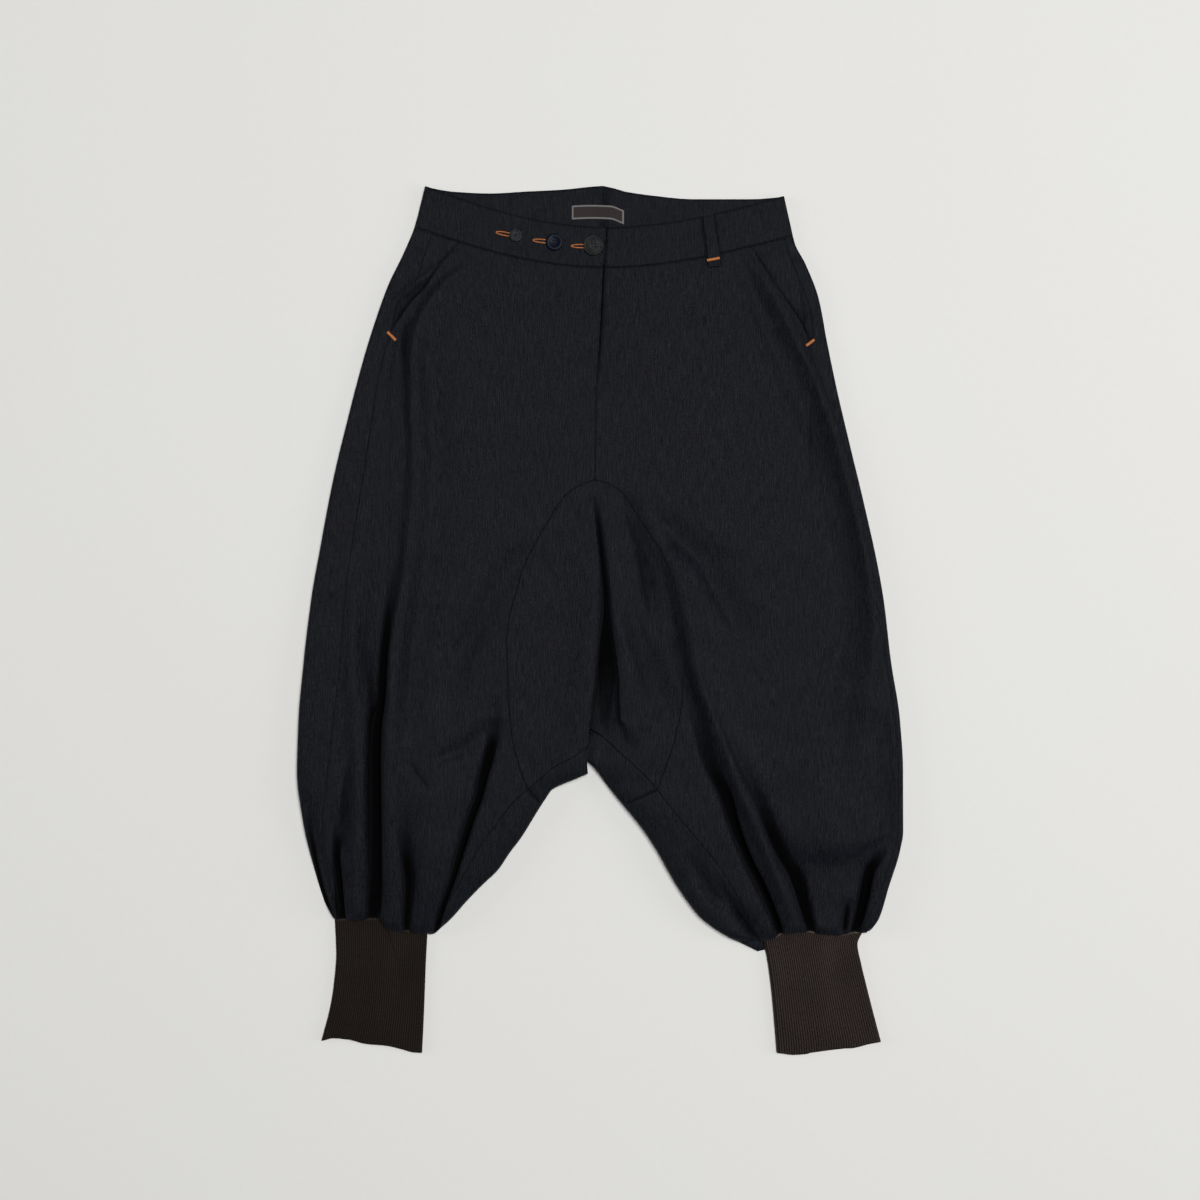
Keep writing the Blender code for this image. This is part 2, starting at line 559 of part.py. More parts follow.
def side_panel(side, rows):
    """Pocket bearer between the pocket mouth and the side seam, ending in a blunt tip."""
    columns = 3
    runs = []
    for s in rows[BAND_ROW:TACK_ROW + 1]:
        runs.append(top_points(s, np.linspace(outer_share(s), s.crossing("side seam " + side), columns + 1)))
    patch = stacked(runs)
    tip = 0.86
    patch[0][-1] = patch[0][-2] + (patch[0][-1] - patch[0][-2]) * tip
    half = SEAM / 2
    return settle(pull_in(patch, half, half, half, 0))


def under_end(section):
    """Where the back panel's underside ends: centre back, the gusset's arch, or below the inseam."""
    if section.index < ARCH_ROW or section.index >= cross_row(section.side):
        return 1.0
    return section.crossing("arch " + section.side, section.under)


def back_panel(side, rows):
    """Back of one leg: turned strip on the front, side edge, underside, and the strip at the inseam."""
    runs = []
    for s in rows[BAND_ROW:]:
        start = s.roll / s.width
        strip = top_points(s, np.linspace(s.crossing("side seam " + side), start, STRIP_COLUMNS + 1))
        turn = roll_points(s, ROLL_ANGLES)
        under = under_points(s, np.linspace(start, under_end(s), BASE_COLUMNS + 1))
        runs.append(joined(strip, turn, under))
    leg = pull_in(stacked(runs), SEAM / 2, 0, SEAM / 2, SEAM / 2)
    first_leg = cross_row(side) - BAND_ROW
    points = leg[0]
    way = points[:first_leg + 1, -2] - points[:first_leg + 1, -1]
    points[:first_leg + 1, -1] += way / np.linalg.norm(way, axis=-1, keepdims=True) * SEAM / 2
    runs = []
    for s in rows[cross_row(side):]:
        finish = 2 - s.inner_roll / s.strip
        under = under_points(s, np.linspace(1.0, finish, 3))
        turn = roll_points(s, ROLL_ANGLES[::-1], inner=True)
        strip = top_points(s, np.linspace(finish, 1.0, 3))
        runs.append(joined(under, turn, strip))
    inner = pull_in(stacked(runs), 0, SEAM / 2, SEAM / 2, SEAM / 2)
    inner[0][:, 0] = points[first_leg:, -1]
    return leg, inner


def front_gusset(left, right):
    """Arched gusset with its centre pleat: the left half ends on the pleat's edge, over the right half."""
    body = len(BODY_SECTIONS)
    half = SEAM / 2
    runs = [top_points(s, np.linspace(inner_share(s), 1.0, 7)) for s in left[ARCH_ROW:cross_row("left")]]
    left_patch = stacked(runs)
    end = point_on_front(left[cross_row("left")], 1.0)
    left_patch = add_tip(left_patch, end)
    left_patch = settle(pull_in(left_patch, half, 0, half, 0))
    leg_rows = np.arange(body - ARCH_ROW, left_patch[0].shape[0])
    nudge(left_patch, leg_rows[1:], -1, half)

    runs = []
    for s in right[ARCH_ROW:cross_row("right")]:
        reach = (1 - inner_share(s)) * s.width
        far = float(line("pleat far side", s.inner[1])) - s.inner[0]
        wanted = np.array((0, 1.5, 3.0, 0.5 * (far + 2), far - 1.0, far + 1.6, far + 8))
        wanted = np.concatenate((wanted, np.linspace(far + 8, reach, 6)[1:]))
        even = np.linspace(0, reach, len(wanted))
        share = np.clip((reach - 24) / 30, 0, 1)
        if s.leg >= 0:
            share = share * max(0.0, 1 - 0.5 * s.leg)
        places = even + (wanted - even) * share
        runs.append(top_points(s, 1 - places / s.width))
    right_patch = add_tip(stacked(runs), point_on_front(right[cross_row("right")], 1.0))
    right_patch = settle(pull_in(right_patch, 0, half, half, 0))
    nudge(right_patch, np.arange(body - ARCH_ROW, right_patch[0].shape[0]), 0, half)
    shared = body - ARCH_ROW
    right_patch[0][:shared, 0] = left_patch[0][:shared, -1]
    return left_patch, right_patch


def point_on_front(section, share):
    x, y = section.front(share)
    return np.array((float(x), float(y), float(soft_height(x, y))))


def add_tip(patch, end):
    """Close a patch towards a corner, stopping just short of it."""
    tip = patch[0][-1] + (end - patch[0][-1]) * 0.84
    patch[0] = np.concatenate((patch[0], tip[None]))
    patch[1] = np.concatenate((patch[1], patch[1][-1:]))
    return patch


def nudge(patch, rows, column, amount):
    """Draw one side of a patch back from its seam, up the garment."""
    patch[0][rows, column, 1] += amount
    settle(patch)


def back_gusset(side, rows):
    """Half of the back gusset: underside below the arch, turned over the crotch edge up to the inseam."""
    half = SEAM / 2
    first, last = ARCH_ROW, cross_row(side)
    runs = []
    for s in rows[first:last + 1]:
        finish = 2 - s.inner_roll / s.strip if s.on_leg else 1.0
        start = 1.0 if s.index == last else s.crossing("arch " + side, s.under)
        runs.append(under_points(s, np.linspace(start, finish, 5)))
    under = pull_in(stacked(runs), half, 0, half, half)
    centre_rows = sum(1 for s in rows[first:last + 1] if not s.on_leg)
    points = under[0]
    points[:centre_rows, -1, 0] += half * (-1 if side == "left" else 1)
    runs = []
    for s in rows[first:last + 1]:
        if s.on_leg:
            finish = 2 - s.inner_roll / s.strip
            start = under_points(s, np.array((finish,)))
            turn = roll_points(s, ROLL_ANGLES[::-1], inner=True)
            runs.append(joined(start, turn, top_points(s, np.linspace(finish, 1.0, 4))))
    strip = pull_in(stacked(runs), 0, half, 0, half)
    strip[0][:, 0] = points[centre_rows:, -1]
    return under, strip


def waistband(side, rows):
    """Half of the shaped waistband, from the front overlap round the side to the centre back."""
    half = SEAM / 2
    runs = []
    for s in rows[:BAND_ROW + 1]:
        start = s.roll / s.width
        front = top_points(s, np.linspace(1.0, start, FRONT_COLUMNS + 2))
        turn = roll_points(s, ROLL_ANGLES)
        under = under_points(s, np.linspace(start, 1.0, BASE_COLUMNS + 1))
        runs.append(joined(front, turn, under))
    patch = pull_in(stacked(runs), half, half, 0, half)
    flat = patch[0][:, :FRONT_COLUMNS + 2]
    flat[..., 2] = soft_height(flat[..., 0], flat[..., 1]) + step_height(flat[..., 0], flat[..., 1])
    return patch


def underlap(left_rows, band):
    """Button extension of the right band, lying under the left band as far as the first button."""
    runs = []
    length = 108.0
    inset = (1.2, 0.0, -1.2)
    for s, down in zip(left_rows[:BAND_ROW + 1], inset):
        far_share = 1 - length / s.width
        x, y = s.front(np.linspace(far_share, 1.0, 6))
        height = np.full_like(x, UNDERLAP_HEIGHT)
        flat = np.zeros_like(x)
        runs.append((np.stack((x, y - down, height), -1), np.stack((flat, flat, flat + 1), -1)))
    patch = stacked(runs)
    patch[0][:, -1] = band[0][:, 0]
    patch[1][:, -1] = band[1][:, 0]
    return patch


def cuff(side, rows):
    """Ribbed cuff, laid flat: ribs on the upper side, plain inside and underside."""
    left_side, right_side = CUFF_SIDES[side]
    hem = hem_line(side, rows)
    radius = CUFF_HEIGHT / 2
    steps = 4
    outer, inner = [], []
    for r in range(steps):
        down = r / (steps - 1)
        ribs = np.arange(2 * RIBS + 1) / (2 * RIBS)
        outer.append([])
        inner.append([])

        def spot(share, depth, base):
            x_low, x_high = left_side[0][1], right_side[0][1]
            x = x_low + (x_high - x_low) * share
            for _ in range(6):
                start = float(np.interp(x, *hem[base])) - SEAM
                y = start + (float(smooth(x, CUFF_END[side])) - start) * depth
                x_low, x_high = float(smooth(y, left_side)), float(smooth(y, right_side))
                x = x_low + (x_high - x_low) * share
            return x, y, x_high - x_low

        width = spot(0.5, down, 0)[2]
        margin = radius / width
        for number, share in enumerate(margin + (1 - 2 * margin) * ribs):
            x, y, _ = spot(share, down, 0)
            relief = RIB_RELIEF if number % 2 else 0.0
            outer[-1].append((x, y, CUFF_HEIGHT - RIB_RELIEF + relief))
            inner[-1].append((x, y, CUFF_HEIGHT - RIB_RELIEF - KNIT))
        for angle in np.radians(ROLL_ANGLES):
            turn_point(outer[-1], inner[-1], spot, 1 - margin * (1 - math.cos(angle)), down, angle, 1)
        for share in np.linspace(1 - margin, margin, 6):
            x, y, _ = spot(share, down, 1)
            outer[-1].append((x, y, 0.0))
            inner[-1].append((x, y, KNIT))
        for angle in np.radians(ROLL_ANGLES[::-1]):
            turn_point(outer[-1], inner[-1], spot, margin * (1 - math.cos(angle)), down, angle, -1)
        outer[-1].append(outer[-1][0])
        inner[-1].append(inner[-1][0])
    points = np.array(outer)
    return (points, np.zeros_like(points)), np.array(inner)


def turn_point(outer, inner, spot, share, down, angle, way):
    """One point round a cuff's side edge, with the point inside the knit."""
    x, y, _ = spot(share, down, 0 if angle > 0 else 1)
    half = (CUFF_HEIGHT - RIB_RELIEF) / 2
    z = half + half * math.sin(angle)
    outer.append((x, y, z))
    inner.append((x - way * KNIT * math.cos(angle), y, z - KNIT * math.sin(angle)))


def hem_line(side, rows):
    """The leg's lower end on the upper side and on the underside, as (x, y) to read between."""
    s = rows[-1]
    start = s.roll / s.width
    shares = np.concatenate((
        start * (1 - np.cos(np.radians(ROLL_ANGLES[:2]))),
        np.linspace(s.crossing("side seam " + side), start, STRIP_COLUMNS + 1),
        np.linspace(1.0, outer_share(s), FRONT_COLUMNS + 1)))
    top_x, top_y = s.front(shares)
    base_x, base_y = s.under(np.array((0.0, 2.0)))
    top, base = np.argsort(top_x), np.argsort(base_x)
    return (top_x[top], top_y[top]), (base_x[base], base_y[base])


def strap(name, middle, width, lift, thickness, material, ground=None):
    """A narrow strip of cloth that lies on the panels below it."""
    way = np.gradient(middle, axis=0)
    way /= np.linalg.norm(way, axis=1, keepdims=True)
    across = np.stack((-way[:, 1], way[:, 0]), -1)
    rows = []
    for place_across in (-0.5, -0.38, 0.38, 0.5):
        spots = middle + across * width * place_across
        if ground is None:
            z = soft_height(spots[:, 0], spots[:, 1]) + step_height(spots[:, 0], spots[:, 1])
        else:
            z = np.full(len(spots), ground)
        edge = 0.5 * thickness if abs(place_across) == 0.5 else 0.0
        rows.append(np.stack((spots[:, 0], spots[:, 1], z + lift + thickness - edge), -1))
    points = np.stack(rows)
    inside = points.copy()
    inside[..., 2] -= thickness
    inside[0, :, 2] += 0.5 * thickness
    inside[-1, :, 2] += 0.5 * thickness
    return wall(name, [(points, np.zeros_like(points))], 0, material, inner=[inside])


def belt_loop(material):
    lengths = np.linspace(0, 1, 7)
    knots = np.linspace(0, 1, len(BELT_LOOP))
    x = smooth(lengths, tuple(zip(knots, (row[0] for row in BELT_LOOP))))
    y = smooth(lengths, tuple(zip(knots, (row[1] for row in BELT_LOOP))))
    return strap("belt_loop", np.stack((x, y), -1), BELT_LOOP_WIDTH, 0.5, 1.8, material)


def label(material):
    x = np.linspace(LABEL[0][0], LABEL[-1][0], 7)
    y = smooth(x, LABEL) - LABEL_DEPTH / 2
    return strap("label", np.stack((x, y), -1), LABEL_DEPTH, SEAM, 1.0, material, ground=BAND)


def button(name, x, y, radius, thickness, material):
    """A turned button with a raised rim, a dished middle and four sewing holes."""
    lift = BAND_HEIGHT + 0.6
    profile = (
        (0.0, 0.62), (0.52, 0.62), (0.68, 0.80), (0.86, 1.0), (0.97, 0.80), (1.0, 0.45), (0.86, 0.0), (0.0, 0.0))
    data = bpy.data.meshes.new(name)
    corners = [(radius * MM * out, 0, thickness * MM * up) for out, up in profile]
    data.from_pydata(corners, [(i, i + 1) for i in range(len(corners) - 1)], [])
    data.materials.append(material)
    thing = bpy.data.objects.new(name, data)
    GARMENT.objects.link(thing)
    screw = thing.modifiers.new("turn", "SCREW")
    screw.steps = screw.render_steps = 20
    screw.use_merge_vertices = True
    screw.merge_threshold = 0.00001
    screw.use_normal_calculate = False
    holes = 4
    spread, hole = 0.24 * radius, 0.085 * radius + 0.25
    for number in range(holes):
        turn = math.radians(45 + 90 * number)
        bpy.ops.mesh.primitive_cylinder_add(
            vertices=6, radius=hole * MM, depth=3 * thickness * MM,
            location=(spread * math.cos(turn) * MM, spread * math.sin(turn) * MM, 0))
        cutter = bpy.context.object
        cutter.name = f"{name}_hole_{number}"
        cutter.hide_render = True
        cutter.display_type = "WIRE"
        for collection in list(cutter.users_collection):
            collection.objects.unlink(cutter)
        CUTTERS.objects.link(cutter)
        cutter.location.x += x * MM
        cutter.location.y += y * MM
        cutter.location.z += lift * MM
        cut = thing.modifiers.new(f"hole {number}", "BOOLEAN")
        cut.operation = "DIFFERENCE"
        cut.object = cutter
    thing.location = (x * MM, y * MM, lift * MM)
    data.shade_smooth()
    return thing


def make_materials():
    made = {}
    for name, (colour, roughness) in COLOURS.items():
        material = bpy.data.materials.new(name)
        material.use_nodes = True
        shader = material.node_tree.nodes["Principled BSDF"]
        shader.inputs["Base Color"].default_value = colour
        shader.inputs["Roughness"].default_value = roughness
        shader.inputs["Metallic"].default_value = 0.0
        material.diffuse_color = colour
        made[name] = material
    return made


for thing in list(bpy.data.objects):
    bpy.data.objects.remove(thing)
GARMENT = bpy.data.collections.new("harem_pants")
CUTTERS = bpy.data.collections.new("harem_pants_cutters")
for collection in (GARMENT, CUTTERS):
    bpy.context.scene.collection.children.link(collection)
MATERIALS = make_materials()
ROWS = {side: sections(side) for side in ("left", "right")}

for side, rows in ROWS.items():
    wall("front_" + side, [front_panel(side, rows)], CLOTH, MATERIALS["cloth"])
    wall("side_panel_" + side, [side_panel(side, rows)], CLOTH, MATERIALS["cloth"])
    wall("back_" + side, back_panel(side, rows), CLOTH, MATERIALS["cloth"])
    wall("gusset_back_" + side, back_gusset(side, rows), CLOTH, MATERIALS["cloth"])
    band = waistband(side, rows)
    pieces = [band] if side == "left" else [band, underlap(ROWS["left"], band)]
    wall("waistband_" + side, pieces, BAND, MATERIALS["cloth"])
    patch, lining = cuff(side, rows)
    wall("cuff_" + side, [patch], KNIT, MATERIALS["knit"], inner=[lining])
wall("gusset_front", front_gusset(ROWS["left"], ROWS["right"]), CLOTH, MATERIALS["cloth"])
belt_loop(MATERIALS["cloth"])
label(MATERIALS["label"])
for name, x, y, radius, thickness in BUTTONS:
    button(name, x, y, radius, thickness, MATERIALS["button"])
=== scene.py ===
"""Harem pants, laid flat: fine cloth shells, rib knit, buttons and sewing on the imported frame.

The tables below are in millimetres in the frame's own axes: +Y to the waist, +X to the right of the
laid-out front, the garment resting on z = 0. "Left" and "right" are those of the front as it lies.
"""
import functools
import math

import bmesh
import bpy
import numpy as np
from mathutils import Matrix, Vector


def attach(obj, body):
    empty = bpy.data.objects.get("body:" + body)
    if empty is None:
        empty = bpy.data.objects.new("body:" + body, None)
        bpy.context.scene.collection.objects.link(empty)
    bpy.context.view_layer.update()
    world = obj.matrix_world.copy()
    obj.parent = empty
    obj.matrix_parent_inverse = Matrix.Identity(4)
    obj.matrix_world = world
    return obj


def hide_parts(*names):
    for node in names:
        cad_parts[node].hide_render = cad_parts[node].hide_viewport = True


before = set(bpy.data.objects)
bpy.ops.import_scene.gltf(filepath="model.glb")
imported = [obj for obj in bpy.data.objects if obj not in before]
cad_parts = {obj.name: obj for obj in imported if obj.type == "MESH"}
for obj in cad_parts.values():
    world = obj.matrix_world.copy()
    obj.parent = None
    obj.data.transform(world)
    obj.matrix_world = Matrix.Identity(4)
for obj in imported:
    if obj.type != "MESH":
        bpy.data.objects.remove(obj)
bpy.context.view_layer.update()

bl_info = {
    "name": "Harem pants",
    "version": (1, 0, 0),
    "blender": (4, 5, 0),
    "location": "3D View > Sidebar > Harem pants",
    "description": "Cloth, knit, buttons and sewing of a laid-out pair of low-crotch trousers",
    "category": "Add Mesh",
}

MM = 0.001
SIDES = ("left", "right")

BAND_HEIGHT = 6.2          # top of the waistband above the surface
HEM_HEIGHT = 5.3           # cloth where it is sewn to the cuff
LEAST_HEIGHT = 2.6         # front cloth lying straight on the back cloth
EDGE_ROLL = 5.0            # largest radius of a turned side edge
HEM_REACH = 9.0            # length over which the gathers round down to the cuff
EDGE_REACH = 60.0          # width over which a puffed leg rounds down to its side edge
NEAR_SEAM = (0.04, 0.35, 0.9, 1.9)     # distances of the mesh columns beside a seam
STEEP_PLACES = 460         # places across a section at which its steepness is read
STEEP_PULL = 3             # how strongly steep cloth draws mesh columns
FLAT_LOFT = 6.5            # loft over which a leg counts as puffed
CROTCH_Y = -168            # the y below which the legs' inner edges count as edges
SLACK_FROM = 400           # where the slack starts, and the length over which it grows
SLACK_GROWS = 120
LOBE_FROM = 8              # height from which cloth puffs out over the cuff, and over what it grows
LOBE_SPAN = 7
LOBE_REACH = 4             # how far up from the hem it does so, how much it rises and sags
LOBE_RISE = 1.1
LOBE_SAG = 1.7

# Lines of the laid-out garment, as rows of (y, x).
LINES = {
    "outline left": (
        (454.5, -184), (436, -188.5), (411.5, -195), (383, -207), (352, -222), (315, -235.5), (273, -248.5),
        (210, -265), (147, -280), (84, -292), (21, -303), (-42, -310.5), (-105, -316), (-157.5, -317.5),
        (-210, -311.5), (-260.5, -300), (-294, -289.5), (-313, -279)),
    "outline right": (
        (444, 192.5), (415, 199), (394, 204), (373, 215), (336, 229), (294, 237), (252, 245.5), (210, 255),
        (168, 265), (126, 275), (63, 289), (21, 296.5), (-42, 304), (-105, 313.5), (-157.5, 316.5),
        (-220.5, 316.5), (-241.5, 313), (-277, 302), (-311, 291.5), (-325.5, 282)),
    "centre front": (
        (454.5, 6), (411.5, 6), (369.5, 3), (316, 0.5), (255, -3.5), (239.5, -4.5), (147.5, -6), (138.5, -7),
        (97.5, -4.5), (55.5, -0.5), (21, 2), (-18, -2), (-63, -6), (-102, -10.5), (-131, -13)),
    "centre back": (
        (454.5, 2.5), (411.5, 1.5), (336, -1.5), (239.5, -4.5), (147, -6), (21, -8), (-96.5, -11),
        (-131, -12.2), (-157.5, -13)),
    "arch left": (
        (146, -9), (142, -18.5), (135.5, -31), (122, -43.5), (103, -55), (81, -67.5), (58, -79.5),
        (29.5, -88.5), (3, -95), (-21, -98), (-52.5, -97), (-81, -96), (-116.5, -93), (-147, -86.5),
        (-176.5, -76)),
    "arch right": (
        (146, -2.5), (142, 9), (135.5, 20.5), (117.5, 33), (103, 42.5), (81, 57), (58, 69), (31.5, 78),
        (0, 84.5), (-31.5, 87.5), (-68, 86), (-100, 82.5), (-124, 77), (-150, 69), (-176.5, 59)),
    "side seam left": (
        (411.5, -176), (403, -177.5), (380, -185.5), (357, -193), (340, -207.5), (323.5, -214.5),
        (301.5, -220), (258.5, -231.5), (198.5, -241), (147, -248.5), (105, -255.5), (55.5, -263),
        (5, -268.5), (-49.5, -272.5), (-116.5, -280), (-164, -285), (-218.5, -289.5), (-242.5, -289.5),
        (-281.5, -281), (-314, -266)),
    "side seam right": (
        (403, 191.5), (377, 199.5), (353, 209.5), (332, 217.5), (315, 221.5), (298, 222), (287.5, 219),
        (258.5, 228.5), (227, 240), (191, 252.5), (153.5, 264), (97.5, 275.5), (52.5, 285), (21, 290.5),
        (-42, 298), (-105, 307), (-157.5, 310.5), (-220.5, 310), (-241.5, 305.5), (-277, 294), (-325.5, 271)),
    "pocket left": (
        (399, -145.5), (381, -161), (357, -177.5), (346.5, -185.5), (331, -200), (315, -211), (301.5, -220)),
    "pocket right": (
        (390.5, 158), (363.5, 175), (343.5, 188.5), (323.5, 202), (308.5, 211.5), (287.5, 219)),
    "inseam left": (
        (-131, -13), (-143, -30), (-154.5, -51), (-166, -63.5), (-176.5, -76), (-190, -91), (-211, -107.5),
        (-231, -122.5), (-259.5, -139), (-280.5, -150.5), (-299, -162), (-315, -173), (-326.5, -181)),
    "inseam right": (
        (-112.5, -11.2), (-122, 2.5), (-137.5, 19.5), (-156.5, 40.5), (-176.5, 59), (-192, 70.5),
        (-216.5, 91), (-233, 104.5), (-259.5, 125.5), (-283, 139.5), (-309.5, 153), (-334, 167.5)),
    "edge left": (
        (-160.5, -13), (-167, -28), (-173, -42.5), (-177.5, -51), (-182.5, -54.5), (-193, -61.5), (-210, -72),
        (-227, -82.5), (-243.5, -95), (-260.5, -106.5), (-277, -123.5), (-294, -140), (-311, -155),
        (-328.5, -173.5)),
    "edge right": (
        (-147, -12.4), (-159.5, -2.5), (-176.5, 10), (-193, 23.5), (-210, 37.5), (-227, 50), (-243.5, 60.5),
        (-260.5, 70), (-277, 79.5), (-294, 91), (-311, 104.5), (-327.5, 126.5), (-347.5, 165.5)),
    "pleat far side": (
        (126, -0.5), (63, 3.5), (21, 7), (-9.5, 12), (-55.5, 18.5), (-102, 20.5), (-114.5, 28)),
}

# Lines read across the garment, as rows of (x, y).
BACK_TOP_EDGE = (
    (-184, 454.5), (-156, 449.5), (-115, 447.5), (-79.5, 449.5), (-39.5, 451.5), (-11, 454.5), (2.5, 455.5),
    (25.5, 449.5), (57, 445), (97, 441.5), (159, 441.5), (192.5, 444))
HEM = {
    "left": (
        (-279, -313), (-246, -312), (-231, -312.5), (-221, -322), (-205.5, -324), (-193.5, -326),
        (-181, -326.5)),
    "right": (
        (167.5, -334), (183, -331), (192.5, -326), (213.5, -325), (230.5, -327), (252.5, -328.5),
        (264, -326.5), (282, -325.5)),
}
CUFF_SIDES = {
    "left": (
        ((-313, -278.5), (-349.5, -277), (-385.5, -280), (-404, -283), (-441, -292.5)),
        ((-329, -181.5), (-357, -183), (-383, -184), (-409.5, -185), (-452.5, -187))),
    "right": (
        ((-335, 170.5), (-356, 175), (-389.5, 179.5), (-453.5, 185)),
        ((-325.5, 275.5), (-340, 269.5), (-359, 273), (-380, 278), (-404, 284), (-442, 294))),
}
CUFF_END = {
    "left": (
        (-292.5, -441), (-280, -438.5), (-265, -439.5), (-246, -444), (-224, -446), (-208.5, -449.5),
        (-196, -453), (-187, -453.5)),
    "right": (
        (184.5, -453.5), (202, -455.5), (217, -454.5), (240, -451.5), (264, -448.5), (283, -444),
        (294, -442)),
}

# Sections across the body, waist to crotch: the y of the left edge, right edge, centre front, centre back.
BODY_SECTIONS = (
    (454.5, 444, 411.5, 454.5), (432.5, 424, 390.5, 432.5), (411.5, 403, 369.5, 410.5),
    (384.5, 378, 352, 384.5), (353, 347.5, 331, 353), (323.5, 320, 310, 322.5), (301.5, 287.5, 289, 295),
    *((y,) * 4 for y in (
        262.5, 220.5, 178.5, 147.5, 146, 142, 135.5, 124, 105, 79, 47, 10.5, -26, -63, -96.5, -112.5)))
BAND_ROW = 2               # section at the seam under the waistband
TACK_ROW = 6               # section where the pocket mouths end
ARCH_ROW = 11              # section at the top of the gusset

# Sections of the legs, crotch to cuff: the y of the outer edge, the inseam and the inner edge.
LEG_SECTIONS = {
    "left": (
        (-131, -131, None), (-132.5, -132.5, -160.5), (-142, -143, -167), (-152, -154.5, -173),
        (-163, -166, -182.5), (-174.5, -176.5, -193), (-187, -190, -207), (-206, -211, -226),
        (-224.5, -231, -241.5), (-250, -259.5, -266.5), (-270, -280.5, -287.5), (-286.5, -299, -304.5),
        (-300.5, -315, -319), (-313, -326.5, -328.5)),
    "right": (
        (-114, -114, -147), (-124, -126, -155.5), (-138.5, -142, -167), (-155.5, -159.5, -180.5),
        (-172, -176.5, -193), (-187, -192, -212), (-208, -216.5, -235), (-229, -237.5, -257),
        (-252, -261.5, -281.5), (-276, -284.5, -305.5), (-297, -308.5, -326.5), (-313, -323.5, -338),
        (-325.5, -334, -347.5)),
}
CROSS_ROW = {"left": 5, "right": 4}    # leg section at the seam between back leg and back gusset

# Height of the front cloth in the middle of a leg, before its folds, as rows of (y, height).
LOFT = (
    (455, BAND_HEIGHT), (405, BAND_HEIGHT), (336, 6.8), (231, 8), (147, 9.5), (21, 12), (-84, 14.5),
    (-150, 16.5), (-200, 18.2), (-250, 19), (-300, 18.5), (-350, 17.5))

